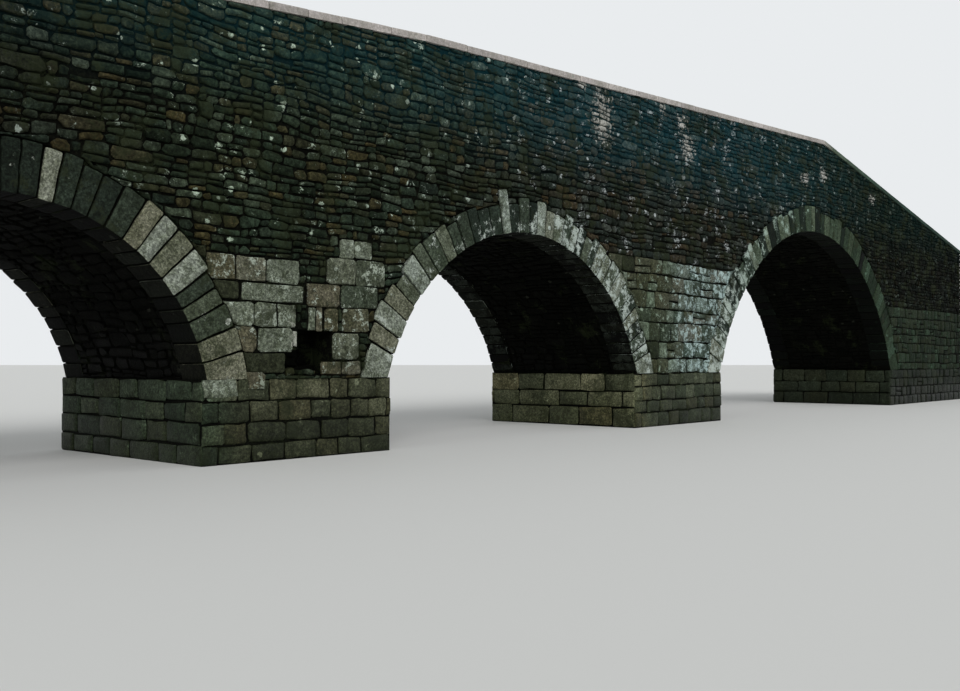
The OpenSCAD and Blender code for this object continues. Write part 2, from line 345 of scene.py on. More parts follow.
def wearGroup():
    # Paler, rubbed arrises where the mesh stores its rim
    tree, given, result = newGroup(
        "edgeWear", "ShaderNodeTree", {"Vector": "Vector", "Amount": 0.5}, ("Mask",))
    rim = put(tree, "ShaderNodeAttribute", attribute_name="rim").outputs["Fac"]
    broken = softStep(tree, cloud(tree, given["Vector"], 14.0)["Fac"], 0.38, 0.62)
    worn = times(tree, rim, broken)
    feed(tree, result["Mask"], times(tree, worn, given["Amount"]))
    return tree


def limeGroup():
    # One ragged patch of lime on the front
    tree, given, result = newGroup(
        "limePatch", "ShaderNodeTree",
        {"Vector": "Vector", "Patch X": 0.0, "Patch Z": 0.0, "Half Length": 0.2, "Half Height": 0.2},
        ("Mask",))
    parts = split(tree, given["Vector"])
    along = calc(tree, "DIVIDE", calc(tree, "SUBTRACT", parts["X"], given["Patch X"]), given["Half Length"])
    up = calc(tree, "DIVIDE", calc(tree, "SUBTRACT", parts["Z"], given["Patch Z"]), given["Half Height"])
    away = calc(tree, "SQRT", calc(tree, "MULTIPLY_ADD", along, along, times(tree, up, up)))
    patches = cloud(tree, given["Vector"], 13.0, 6.0, 0.72)["Fac"]
    level = calc(tree, "SUBTRACT", calc(tree, "MULTIPLY_ADD", patches, 7.0, -2.6), away)
    onFace = calc(tree, "LESS_THAN", parts["Y"], 0.0)
    feed(tree, result["Mask"], times(tree, onFace, softStep(tree, level, -0.35, 0.8)))
    return tree


shaderGroups = {"grain": grainGroup(), "lichen": lichenGroup(), "damp": dampGroup(), "wear": wearGroup(),
                "lime": limeGroup()}


def useGroup(tree, key, inputs):
    return put(tree, "ShaderNodeGroup", inputs, node_tree=shaderGroups[key]).outputs


def alongBridge(tree, coords, stops):
    # A strength or a colour by place along the bridge; each stop is x, then one number or three
    share = put(tree, "ShaderNodeMapRange",
                {"Value": split(tree, coords)["X"], "From Min": leftX, "From Max": rightX}).outputs["Result"]
    return rampNode(tree, share, [((x - leftX) / (rightX - leftX), *levels) for x, *levels in stops])


def flat(*levels):
    # Stops for the same level or colour all along the bridge
    return (leftX, *levels), (rightX, *levels)


# Shades run by each stone's tone, and the lowest tones stay free of lichen. lichenAt gives the cover along
# the bridge. tintAndShade multiplies the colour along the bridge: a damp green or blue tint, and painted
# shade of trees and ivy that darkens some stretches and the ends, the right end most. skyTint is painted
# bluish sky light added on the outer faces between the heights in skyTintFrom. lime lists the middles and
# half sizes of white patches.
# Painted bluish sky light, added to the upper outer faces of the wall and to its joints
wallSkyTint = ((-18.8, 0.0, 0.01, 0.01), (-9.0, 0.0, 0.014, 0.018), (-4.5, 0.0, 0.02, 0.027),
            (-2.5, 0.0, 0.023, 0.032), (2.8, 0.0, 0.023, 0.032), (5.75, 0.0, 0.021, 0.027),
            (8.0, 0.0, 0.014, 0.016), (11.0, 0.0, 0.008, 0.007), (18.8, 0.0, 0.006, 0.005))
plainStone = {
    "grainScale": 75.0, "blotchScale": 30.0, "cloudScale": 5.0, "speckle": 0.6, "blotch": 0.85, "stain": 0.75,
    "lichenAt": flat(0.2), "lichenColour": "#a9ada1", "lichenScale": 5.0, "lichen": 0.85, "spots": 0.1,
    "moss": 0.35, "mossColour": "#272d1c", "damp": 0.9, "streaks": 0.45, "wear": 0.5, "tintAndShade": flat(1.0),
    "skyTint": flat(0.0), "skyTintFrom": (4.0, 5.5), "skyTintOutside": 1.5, "lime": (), "limeColour": "#b9b7b0",
    "bump": 0.7, "bumpDistance": 0.016, "roughness": 0.88, "specular": 0.1,
}
stoneFinishes = {
    "ringGranite": dict(
        plainStone, shades=("#171e18", "#2c342b", "#4a5142", "#676a59", "#7b7866", "#8f9387"), spots=0.12,
        lichenColour="#b9bcb0",
        lichenAt=((-18.8, 0.12), (-11.6, 0.12), (-9.8, 0.2), (-7.2, 0.32), (-4.6, 0.3), (-3.0, 0.46),
                  (2.2, 0.5), (5.0, 0.42), (6.6, 0.26), (10.0, 0.16), (18.8, 0.12)),
        tintAndShade=((-18.8, 1.0, 1.0, 1.0), (-9.8, 0.96, 1.0, 1.0), (-3.0, 0.94, 1.04, 1.1),
              (2.3, 0.94, 1.04, 1.1), (4.0, 0.72, 0.88, 0.88), (7.2, 0.54, 0.74, 0.7),
              (9.8, 0.2, 0.32, 0.26), (18.8, 0.12, 0.22, 0.17))),
    "pierGranite": dict(
        plainStone, shades=("#3e3f2f", "#595f52", "#656658", "#6c6450", "#7b7264", "#7d7f71", "#9b9d91"),
        spots=0.12, moss=0.4, lichenColour="#c9ccc0", lichenScale=8.0,
        lichenAt=((-18.8, 0.3), (-9.8, 0.36), (-5.0, 0.34), (-0.6, 0.32), (0.4, 0.38), (1.2, 0.46),
                  (2.8, 0.5), (5.0, 0.36), (18.8, 0.24)),
        tintAndShade=((-18.8, 0.6, 0.68, 0.6), (-9.8, 0.7, 0.77, 0.73), (-2.0, 0.7, 0.77, 0.73),
              (-0.4, 0.36, 0.46, 0.38), (0.2, 0.46, 0.56, 0.5), (0.9, 0.7, 0.88, 0.98),
              (2.8, 0.7, 0.88, 0.98), (12.4, 0.12, 0.2, 0.15), (18.8, 0.08, 0.14, 0.1)),
        lime=((-8.59, 1.51, 0.08, 0.17),), limeColour="#b6b7ad"),
    "baseGranite": dict(
        plainStone, shades=("#3b3f36", "#4a4e43", "#595b50", "#545142", "#6f7064"), blotch=0.8, spots=0.08,
        tintAndShade=((-18.8, 0.6, 0.78, 0.64), (-9.8, 0.6, 0.78, 0.64), (-9.4, 0.8, 0.82, 0.66),
              (-6.2, 0.8, 0.82, 0.66), (-3.9, 1.85, 1.8, 1.42), (-0.75, 1.85, 1.8, 1.42),
              (-0.4, 0.66, 0.76, 0.64), (3.0, 0.66, 0.74, 0.64), (12.2, 0.36, 0.44, 0.36),
              (12.6, 0.16, 0.22, 0.18), (18.8, 0.1, 0.16, 0.12)),
        lichenColour="#8c9083", moss=0.4, damp=0.6, streaks=0.5, wear=0.35, roughness=0.72),
    "wallRubble": dict(
        plainStone, shades=("#1e241b", "#2a3026", "#363d32", "#413d30", "#52452f", "#30372e", "#3e463b",
                            "#2a3029", "#474b40", "#585c50"),
        grainScale=55.0, blotchScale=18.0, cloudScale=1.4, stain=0.5, spots=0.17, moss=0.46,
        lichenColour="#d8dacd", lichenAt=((-18.8, 0.22), (-7.0, 0.24), (-1.0, 0.28), (5.0, 0.3), (18.8, 0.3)),
        tintAndShade=((-18.8, 0.4, 0.44, 0.46), (-12.0, 0.46, 0.52, 0.52), (-9.5, 0.7, 0.84, 0.74),
              (-6.6, 0.68, 0.8, 0.76), (-3.0, 0.64, 0.68, 0.78), (2.8, 0.58, 0.61, 0.7),
              (5.75, 0.4, 0.44, 0.48), (9.0, 0.24, 0.27, 0.28), (12.0, 0.12, 0.15, 0.14),
              (18.8, 0.06, 0.08, 0.08)),
        skyTint=wallSkyTint, bump=0.8, bumpDistance=0.02, roughness=0.92, specular=0.06,
        lime=((-1.9, 5.53, 0.26, 0.4), (0.8, 5.93, 0.18, 0.15), (1.05, 5.45, 0.22, 0.22),
              (0.1, 6.1, 0.08, 0.14), (-2.5, 5.97, 0.14, 0.07), (7.66, 5.85, 0.2, 0.13),
              (6.58, 5.62, 0.2, 0.12), (10.9, 5.64, 0.18, 0.1))),
    # near black: painted shade of the vault soffits and of the back of the hole, over damp stone
    "paintedShadeRubble": dict(
        plainStone, shades=("#070905", "#0c0d09", "#10110d", "#090b07"), grainScale=50.0, speckle=0.4,
        lichenColour="#30322b", lichenAt=flat(0.1), moss=0.3, damp=1.6, streaks=0.3, wear=0.3,
        bumpDistance=0.02, roughness=0.9, specular=0.04),
    "copingGranite": dict(
        plainStone, shades=("#a59f9c", "#b1aaa7", "#beb7b4", "#aba4a1"), grainScale=80.0, speckle=0.35,
        blotch=0.3, stain=0.3, lichenAt=((-18.8, 0.16), (7.6, 0.18), (18.8, 0.3)), lichenColour="#8b8d86",
        moss=0.2, damp=0.0, streaks=0.2, wear=0.35, bump=0.4, roughness=0.82,
        # past the hump the coping turns dark green: partly moss, partly painted shade of trees
        tintAndShade=((-18.8, 1.0, 1.0, 1.0), (7.6, 1.0, 1.0, 1.0), (8.2, 0.2, 0.28, 0.21), (10.4, 0.12, 0.22, 0.17),
              (13.0, 0.06, 0.13, 0.1), (18.8, 0.05, 0.1, 0.08))),
    "pavingStone": dict(
        plainStone, shades=("#494940", "#57564b", "#636156", "#534e3f"), speckle=0.45, moss=0.45, damp=0.0,
        streaks=0.0),
    # the joints of the upper wall take the same painted bluish sky light as the wall
    "mortarCore": dict(
        plainStone, shades=("#0e0f0a", "#14140e"), grainScale=40.0, speckle=0.4, lichenColour="#2b2d25",
        lichenAt=flat(0.1), spots=0.0, damp=0.6, streaks=0.2, wear=0.0, bump=0.9, roughness=0.95,
        specular=0.05, skyTint=wallSkyTint),
}
# the soffit tint is painted shade, near black, on the undersides of the ring stones
tints = {"cloud": (0.55, 0.57, 0.5, 1.0), "stain": (0.5, 0.52, 0.45, 1.0),
         "rubbed": (1.6, 1.58, 1.5, 1.0), "streak": (0.46, 0.47, 0.42, 1.0),
         "damp": (0.43, 0.46, 0.36, 1.0), "under": (0.05, 0.055, 0.045, 1.0)}
strengths = {"clouds": 0.55, "growthSpeckle": 0.6, "moss": 0.65, "lime": 0.85, "damp": 0.7,
             "wetRoughness": -0.25, "lichenRelief": 0.25}
blotchStops = ((0.0, 0.36), (0.35, 0.8), (0.7, 1.15), (1.0, 1.85))
speckleStops = ((0.0, 0.5), (1.0, 1.45))
stoneMove = (7.0, 11.0, 5.0)     # how far a stone's tone moves its own grain
mossMove = (31.0, 17.0, 9.0)     # how far the moss is moved from the lichen
mossScale = 1.9
bareTones = (0.02, 0.05)         # the lichen comes in between these tones


def stoneMaterial(name, s):
    material = bpy.data.materials.new(name)
    material.use_nodes = True
    tree = material.node_tree
    shader = tree.nodes["Principled BSDF"]
    coords = put(tree, "ShaderNodeTexCoord").outputs["Object"]
    tone = put(tree, "ShaderNodeAttribute", attribute_name="tone").outputs["Fac"]
    shifted = vectorCalc(tree, "ADD", coords, vectorCalc(tree, "SCALE", stoneMove, scale=tone))
    last = len(s["shades"]) - 1
    colour = rampNode(tree, tone, [(i / last, *paint(code)[:3]) for i, code in enumerate(s["shades"])])
    grain = useGroup(tree, "grain", {"Vector": shifted, "Grain Scale": s["grainScale"],
                                     "Blotch Scale": s["blotchScale"], "Cloud Scale": s["cloudScale"]})
    colour = shaded(tree, times(tree, grain["Clouds"], strengths["clouds"]), colour, tints["cloud"])
    colour = shaded(tree, times(tree, grain["Stains"], s["stain"]), colour, tints["stain"])
    colour = shaded(tree, s["blotch"], colour, rampNode(tree, grain["Blotches"], blotchStops))
    speckle = rampNode(tree, grain["Grain"], speckleStops)
    colour = shaded(tree, s["speckle"], colour, speckle)
    wear = useGroup(tree, "wear", {"Vector": shifted, "Amount": s["wear"]})["Mask"]
    colour = shaded(tree, wear, colour, tints["rubbed"])
    # lichen, then the tint and painted shade along the bridge, then the painted bluish sky light on the upper
    # wall
    lichen = useGroup(tree, "lichen", {"Vector": coords, "Cover": alongBridge(tree, coords, s["lichenAt"]),
                                       "Patch Scale": s["lichenScale"], "Spot Share": s["spots"]})
    crusted = times(tree, lichen["Mask"], softStep(tree, tone, *bareTones, 0.0, s["lichen"]))
    crust, limed = (shaded(tree, strengths["growthSpeckle"], paint(s[key]), speckle)
                    for key in ("lichenColour", "limeColour"))
    colour = mixColour(tree, crusted, colour, crust)
    # damp tint along the bridge, and painted shade of trees and ivy that darkens the ends
    colour = shaded(tree, 1.0, colour, alongBridge(tree, coords, s["tintAndShade"]))
    parts = split(tree, coords)
    # painted bluish sky light on the outer faces, coming in with height
    outside = calc(tree, "GREATER_THAN", calc(tree, "ABSOLUTE", parts["Y"]), s["skyTintOutside"])
    skyTinted = times(tree, outside, softStep(tree, parts["Z"], *s["skyTintFrom"]))
    colour = mixColour(tree, skyTinted, colour, alongBridge(tree, coords, s["skyTint"]), "ADD")
    # moss, lime, streaks and damp lie over all of it
    moss = useGroup(tree, "lichen", {"Vector": vectorCalc(tree, "ADD", coords, mossMove), "Cover": s["moss"],
                                     "Patch Scale": mossScale, "Spot Share": 0.0})
    mossed = times(tree, moss["Mask"], strengths["moss"])
    colour = mixColour(tree, mossed, colour, paint(s["mossColour"]))
    for x, z, halfLength, halfHeight in s["lime"]:
        patch = useGroup(tree, "lime", {"Vector": coords, "Patch X": x, "Patch Z": z,
                                        "Half Length": halfLength, "Half Height": halfHeight})["Mask"]
        colour = mixColour(tree, times(tree, patch, strengths["lime"]), colour, limed)
    damp = useGroup(tree, "damp", {"Vector": coords, "Damp Height": s["damp"], "Streak Amount": s["streaks"]})
    colour = shaded(tree, damp["Streaks"], colour, tints["streak"])
    colour = shaded(tree, times(tree, damp["Damp"], strengths["damp"]), colour, tints["damp"])
    # painted shade, near black, on the soffit faces of the ring stones
    under = put(tree, "ShaderNodeAttribute", attribute_name="under").outputs["Fac"]
    feed(tree, shader.inputs["Base Color"], shaded(tree, under, colour, tints["under"]))
    shader.inputs["Specular IOR Level"].default_value = s["specular"]
    roughness = calc(tree, "MULTIPLY_ADD", damp["Damp"], strengths["wetRoughness"], s["roughness"])
    feed(tree, shader.inputs["Roughness"], roughness)
    raised = times(tree, lichen["Relief"], strengths["lichenRelief"])
    relief = calc(tree, "ADD", grain["Relief"], raised)
    bump = put(tree, "ShaderNodeBump",
               {"Height": relief, "Strength": s["bump"], "Distance": s["bumpDistance"]}).outputs["Normal"]
    feed(tree, shader.inputs["Normal"], bump)
    return material


finishes = {name: stoneMaterial(name, settings) for name, settings in stoneFinishes.items()}
print("finishes made:", len(finishes))


# Geometry trees
def roundedBlockGroup():
    # Turns a point of a block that runs from -1 to 1 into one of a block with soft arrises
    tree, given, result = newGroup(
        "roundedBlock", "GeometryNodeTree",
        {"Unit Place": "Vector", "Half Size": "Vector", "Bevel": 0.01, "Crowding": 0.55},
        ("Place",), "Vector")
    half, bevel = given["Half Size"], given["Bevel"]
    spread = []
    for part in split(tree, given["Unit Place"]):
        size = calc(tree, "POWER", calc(tree, "ABSOLUTE", part), given["Crowding"])
        spread.append(times(tree, calc(tree, "SIGN", part), size))
    outer = vectorCalc(tree, "MULTIPLY", combine(tree, *spread), half)
    core = vectorCalc(tree, "SUBTRACT", half, combine(tree, bevel, bevel, bevel))
    coreLow = vectorCalc(tree, "SCALE", core, scale=-1.0)
    inner = vectorCalc(tree, "MINIMUM", vectorCalc(tree, "MAXIMUM", outer, coreLow), core)
    away = vectorCalc(tree, "SUBTRACT", outer, inner)
    arris = vectorCalc(tree, "SCALE", vectorCalc(tree, "NORMALIZE", away), scale=bevel)
    reach = calc(tree, "GREATER_THAN", vectorCalc(tree, "LENGTH", away, out="Value"), bevel)
    choice = put(tree, "ShaderNodeMix", data_type="VECTOR")
    feed(tree, choice.inputs[0], reach)
    feed(tree, choice.inputs[4], outer)
    feed(tree, choice.inputs[5], vectorCalc(tree, "ADD", inner, arris))
    feed(tree, result["Place"], choice.outputs[1])
    return tree


def unitBlock(tree, cuts):
    # Block from -1 to 1 that remembers its own places
    cube = put(tree, "GeometryNodeMeshCube", {"Size": (2.0, 2.0, 2.0)})
    for label, count in zip(("Vertices X", "Vertices Y", "Vertices Z"), cuts):
        feed(tree, cube.inputs[label], count)
    return store(tree, cube.outputs["Mesh"], "unit", pointPlace(tree), "FLOAT_VECTOR")


def roughen(tree, geometry, depth, scale):
    # Moves points a little along a cloud of noise, so that no arris stays straight
    drift = vectorCalc(tree, "SUBTRACT", cloud(tree, pointPlace(tree), scale, 3.0)["Color"], (0.5, 0.5, 0.5))
    offset = vectorCalc(tree, "SCALE", drift, scale=times(tree, depth, 4.0))
    return movePoints(tree, geometry, Offset=offset)


def rimOfBlock(tree, geometry):
    # 1 along the arrises of a block and 0 on its faces
    near = [calc(tree, "GREATER_THAN", calc(tree, "ABSOLUTE", part), 0.99)
            for part in split(tree, named(tree, "unit", "FLOAT_VECTOR"))]
    count = calc(tree, "ADD", calc(tree, "ADD", near[0], near[1]), near[2])
    return store(tree, geometry, "rim", calc(tree, "GREATER_THAN", count, 1.5))


def finishTree(tree, geometry, material, result):
    solid = put(tree, "GeometryNodeRealizeInstances", {"Geometry": geometry}).outputs[0]
    painted = put(tree, "GeometryNodeSetMaterial", {"Geometry": solid, "Material": material}).outputs[0]
    feed(tree, result["Geometry"], painted)


def placeBlocks(tree, given, cuts):
    # A unit block on each point, realized, with the points' attributes on its vertices
    onPoints = put(tree, "GeometryNodeInstanceOnPoints",
                   {"Points": given["Geometry"], "Instance": unitBlock(tree, cuts)}).outputs[0]
    return put(tree, "GeometryNodeRealizeInstances", {"Geometry": onPoints}).outputs[0]


def roundedPlace(tree, halfSize, bevel):
    inputs = {"Unit Place": named(tree, "unit", "FLOAT_VECTOR"), "Half Size": halfSize, "Bevel": bevel}
    return put(tree, "GeometryNodeGroup", inputs, node_tree=geometryGroups["roundedBlock"]).outputs[0]


def between(tree, first, second):
    # Half the way from one value to another, and the middle
    return (times(tree, calc(tree, "SUBTRACT", second, first), 0.5),
            times(tree, calc(tree, "ADD", second, first), 0.5))


def ringTree():
    # Wedge stones bent round an arch: each point holds its stone's angles, radii, depth and lean
    tree, given, result = newGroup(
        "ringOfStones", "GeometryNodeTree",
        {"Geometry": "Geometry", "Centre X": 0.0, "Centre Z": 0.0, "Foot Level": 0.0, "Bevel": 0.015,
         "Wear Depth": 0.004, "Wear Scale": 6.0, "Material": "Material"},
        ("Geometry",), "Geometry")
    blocks = placeBlocks(tree, given, (6, 5, 11))
    halfAngle, midAngle = between(tree, named(tree, "angleFrom"), named(tree, "angleTo"))
    halfRadius, midRadius = between(tree, named(tree, "radiusIn"), named(tree, "radiusOut"))
    halfDepth, midDepth = between(tree, named(tree, "yFront"), named(tree, "yBack"))
    halfWidth = times(tree, halfAngle, midRadius)
    half = combine(tree, halfWidth, halfDepth, halfRadius)
    local = split(tree, roundedPlace(tree, half, given["Bevel"]))
    turn = times(tree, calc(tree, "DIVIDE", local["X"], halfWidth), halfAngle)
    angle = calc(tree, "SUBTRACT", midAngle, turn)
    radius = calc(tree, "ADD", midRadius, local["Z"])
    lean = calc(tree, "ADD", times(tree, local["X"], named(tree, "leanAlong")),
                times(tree, local["Z"], named(tree, "leanUp")))
    x = calc(tree, "MULTIPLY_ADD", radius, calc(tree, "COSINE", angle), given["Centre X"])
    y = calc(tree, "ADD", calc(tree, "ADD", midDepth, local["Y"]), lean)
    z = calc(tree, "MULTIPLY_ADD", radius, calc(tree, "SINE", angle), given["Centre Z"])
    bent = movePoints(tree, blocks, Position=combine(tree, x, y, z))
    worn = roughen(tree, rimOfBlock(tree, bent), given["Wear Depth"], given["Wear Scale"])
    # the soffit faces are marked here, so that the finish can paint them in shade
    soffit = calc(tree, "LESS_THAN", split(tree, named(tree, "unit", "FLOAT_VECTOR"))["Z"], -0.99)
    worn = store(tree, worn, "under", soffit, domain="FACE")
    parts = split(tree, pointPlace(tree))
    bedded = combine(tree, parts["X"], parts["Y"], calc(tree, "MAXIMUM", parts["Z"], given["Foot Level"]))
    footed = movePoints(tree, worn, Position=bedded)
    finishTree(tree, footed, given["Material"], result)
    return tree


def slabTree():
    # Straight slabs: each point holds its slab's half size and its slope
    tree, given, result = newGroup(
        "rowOfSlabs", "GeometryNodeTree",
        {"Geometry": "Geometry", "Bevel": 0.01, "Wear Depth": 0.002, "Wear Scale": 9.0,
         "Material": "Material"},
        ("Geometry",), "Geometry")
    blocks = placeBlocks(tree, given, (7, 6, 4))
    rounded = roundedPlace(tree, named(tree, "halfSize", "FLOAT_VECTOR"), given["Bevel"])
    turned = put(tree, "ShaderNodeVectorRotate", {"Vector": rounded, "Angle": named(tree, "slope")},
                 rotation_type="Y_AXIS")
    place = vectorCalc(tree, "ADD", turned.outputs[0], named(tree, "middle", "FLOAT_VECTOR"))
    laid = movePoints(tree, blocks, Position=place)
    worn = roughen(tree, rimOfBlock(tree, laid), given["Wear Depth"], given["Wear Scale"])
    finishTree(tree, worn, given["Material"], result)
    return tree


def extruded(tree, mesh, selection, distance):
    return put(tree, "GeometryNodeExtrudeMesh",
               {"Mesh": mesh, "Selection": selection, "Offset Scale": distance}, mode="FACES").outputs


def facingTree(name, domed):
    # Each outline becomes a closed stone that stands proud of the wall, with a soft arris
    tree, given, result = newGroup(
        name, "GeometryNodeTree",
        {"Geometry": "Geometry", "Arris": 0.01, "Cuts": 0, "Wear Depth": 0.003, "Wear Scale": 9.0,
         "Material": "Material"},
        ("Geometry",), "Geometry")
    base = store(tree, given["Geometry"], "rim", 1.0)
    sides = extruded(tree, base, True, calc(tree, "SUBTRACT", named(tree, "proud"), given["Arris"]))
    top = extruded(tree, sides["Mesh"], sides["Top"], given["Arris"])
    stone = movePoints(tree, top["Mesh"], Selection=top["Top"],
                       Offset=named(tree, "topShift", "FLOAT_VECTOR"))
    stone = store(tree, stone, "rim", 0.0, selection=top["Top"])
    if domed:
        crown = extruded(tree, stone, top["Top"], 0.0)
        stone = movePoints(tree, crown["Mesh"], Selection=crown["Top"],
                           Offset=named(tree, "crownShift", "FLOAT_VECTOR"))
    backs = put(tree, "GeometryNodeFlipFaces", {"Mesh": base}).outputs[0]
    joined = put(tree, "GeometryNodeJoinGeometry")
    tree.links.new(stone, joined.inputs[0])
    tree.links.new(backs, joined.inputs[0])
    closed = put(tree, "GeometryNodeMergeByDistance",
                 {"Geometry": joined.outputs[0], "Distance": 0.0001}).outputs[0]
    cut = put(tree, "GeometryNodeSubdivideMesh", {"Mesh": closed, "Level": given["Cuts"]}).outputs[0]
    worn = roughen(tree, cut, given["Wear Depth"], given["Wear Scale"])
    finishTree(tree, worn, given["Material"], result)
    return tree


geometryGroups = {"roundedBlock": roundedBlockGroup()}
geometryGroups["ring"] = ringTree()
geometryGroups["slabs"] = slabTree()
geometryGroups["facing"] = facingTree("layStones", False)
geometryGroups["domedFacing"] = facingTree("layDomedStones", True)
print("geometry trees made:", len(geometryGroups))


def grow(name, mesh, tree, inputs, smoothAngle=40.0):
    # Runs a geometry tree on a mesh and keeps the result as a plain piece of the bridge
    piece = bpy.data.objects.new(name, mesh)
    bpy.context.scene.collection.objects.link(piece)
    modifier = piece.modifiers.new(tree.name, "NODES")
    modifier.node_group = tree
    for item in tree.interface.items_tree:
        if item.in_out == "INPUT" and item.name in inputs:
            modifier[item.identifier] = inputs[item.name]
    depsgraph = bpy.context.evaluated_depsgraph_get()
    solid = bpy.data.meshes.new_from_object(piece.evaluated_get(depsgraph), preserve_all_data_layers=True,
                                            depsgraph=depsgraph)
    piece.modifiers.clear()
    piece.data = solid
    solid.name = name
    bpy.data.meshes.remove(mesh)
    solid.shade_smooth()
    solid.set_sharp_from_angle(angle=math.radians(smoothAngle))
    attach(piece, "root")
    solid.calc_loop_triangles()
    print(name, len(solid.loop_triangles), "triangles")
    return piece


def setAttribute(mesh, name, kind, domain, values):
    attribute = mesh.attributes.new(name, kind, domain)
    if kind == "FLOAT_VECTOR":
        attribute.data.foreach_set("vector", [number for value in values for number in value])
    else:
        attribute.data.foreach_set("value", values)


# Rings of wedge stones
ringSettings = {
    "jointWidth": 0.017, "angleSway": 0.004, "stonesProud": (0.02, 0.036), "soffitProud": (0.004, 0.014),
    "ringDepth": 0.5, "footSlack": 0.009, "footGap": 0.003, "lean": 0.03, "leanUp": 0.4,
    "Bevel": 0.022, "Wear Depth": 0.008, "Wear Scale": 5.5,
    # tones of the nearest stones, from the left ring's right foot and from the middle ring's left foot
    "nearTones": {
        "left": (0.82, 0.72, 0.34, 0.44, 0.26, 1.0, 0.66, 1.0, 0.76, 0.24, 0.1, 0.16, 0.2, 0.92, 0.08, 0.05),
        "middle": (0.95, 0.8, 0.95, 0.75, 0.55, 1.0, 0.46, 0.4, 0.6, 0.3, 0.3, 0.16, 0.16, 0.22, 1.0, 0.12,
                   0.3, 0.05, 0.95, 0.85, 0.6, 0.3)},
}


def ringPoints(arch, side, s):
    rng = random.Random(arch["seed"] * 10 + (side == "back"))
    joints, count = arch["joints"], len(arch["outer"])
    halfJoint = s["jointWidth"] / 2 / arch["radius"]
    footAngle = math.asin((springZ - arch["z"]) / arch["back"]) - s["footSlack"]
    keys = ("angleFrom", "angleTo", "radiusIn", "radiusOut", "yFront", "yBack", "leanAlong", "leanUp", "tone")
    values = {key: [] for key in keys}
    for i in range(count):
        sway = [s["angleSway"] / arch["radius"] * rng.uniform(-1, 1) for _ in range(2)]
        front = faceY - rng.uniform(*s["stonesProud"])
        rear = faceY + s["ringDepth"]
        tone = rng.random()
        near = s["nearTones"].get(arch["name"], ()) if side == "front" else ()
        fromFoot = i if arch["name"] == "left" else count - 1 - i
        if fromFoot < len(near):
            tone = near[fromFoot]
        start = joints[i] + halfJoint + sway[0]
        end = joints[i + 1] - halfJoint + sway[1]
        values["angleFrom"].append(start if i > 0 else footAngle)
        values["angleTo"].append(end if i < count - 1 else math.pi - footAngle)
        values["radiusIn"].append(arch["radius"] - rng.uniform(*s["soffitProud"]))
        values["radiusOut"].append(arch["outer"][i] + arch.get("tall", {}).get(i, 0.0))
        values["yFront"].append(front if side == "front" else -rear)
        values["yBack"].append(rear if side == "front" else -front)
        values["leanAlong"].append(rng.uniform(-s["lean"], s["lean"]))
        values["leanUp"].append(rng.uniform(-s["lean"], s["lean"]) * s["leanUp"])
        values["tone"].append(tone)
    mesh = bpy.data.meshes.new("ringPoints")
    mesh.from_pydata([(arch["x"], faceY, arch["z"])] * count, [], [])
    for key, numbers in values.items():
        setAttribute(mesh, key, "FLOAT", "POINT", numbers)
    return mesh


def blockInputs(settings, finish):
    inputs = {key: settings[key] for key in ("Bevel", "Wear Depth", "Wear Scale")}
    return dict(inputs, Material=finishes[finish])


for side in ("front", "back"):
    for arch in arches.values():
        inputs = blockInputs(ringSettings, "ringGranite")
        inputs.update({"Centre X": arch["x"], "Centre Z": arch["z"],
                       "Foot Level": springZ + ringSettings["footGap"]})
        grow("ring_stones_" + side + "_" + arch["name"], ringPoints(arch, side, ringSettings),
             geometryGroups["ring"], inputs)
print("rings laid")


# Outlines of stones on a flat layout: u runs along, v runs up
def clipLine(points, origin, outward):
    # Keeps the part of a convex outline that lies against the outward direction
    kept = []
    for (u0, v0), (u1, v1) in zip(points, points[1:] + points[:1]):
        d0 = (u0 - origin[0]) * outward[0] + (v0 - origin[1]) * outward[1]
        d1 = (u1 - origin[0]) * outward[0] + (v1 - origin[1]) * outward[1]
        if d0 <= 0:
            kept.append((u0, v0))
        if (d0 < 0) != (d1 < 0) and d0 != d1:
            t = d0 / (d0 - d1)
            kept.append((u0 + (u1 - u0) * t, v0 + (v1 - v0) * t))
    return kept


def area(points):
    return sum(a[0] * b[1] - b[0] * a[1] for a, b in zip(points, points[1:] + points[:1])) / 2


def middleOf(points):
    return sum(p[0] for p in points) / len(points), sum(p[1] for p in points) / len(points)


def finer(points, step):
    # Adds points along the longer sides
    result = []
    for (u0, v0), (u1, v1) in zip(points, points[1:] + points[:1]):
        parts = max(1, round(math.dist((u0, v0), (u1, v1)) / step))
        result += [(u0 + (u1 - u0) * k / parts, v0 + (v1 - v0) * k / parts) for k in range(parts)]
    return result


def ringBackAt(arch, u, v):
    # How far out the ring's stones reach in the direction of a place
    angle = math.atan2(v - arch["z"], u - arch["x"])
    for end, outer in zip(arch["joints"][1:], arch["outer"]):
        if angle < end:
            return outer
    return arch["outer"][-1]


boxFoot = 0.05     # how far the box of a tall stone reaches down behind its neighbours


def tallBoxes(arch, joint):
    # Boxes round the heads of the stones that reach up into the rubble
    boxes = []
    for i, more in arch.get("tall", {}).items():
        angle = (arch["joints"][i] + arch["joints"][i + 1]) / 2
        foot, head = arch["outer"][i], arch["outer"][i] + more
        half = (arch["joints"][i + 1] - arch["joints"][i]) / 2 * head + joint / 2
        x = arch["x"] + (foot + head) / 2 * math.cos(angle)
        boxes.append((x - half, arch["z"] + foot * math.sin(angle) - boxFoot, x + half,
                      arch["z"] + head * math.sin(angle) + joint))
    return boxes


ringReach = 1.0      # outlines farther than this from the back of a ring are left as they are
ringStep = 0.08      # distance of the points that follow the back of a ring
ringOverlap = 0.05   # how far an outline is cut too long before its points are pushed out
leastMove = 0.001


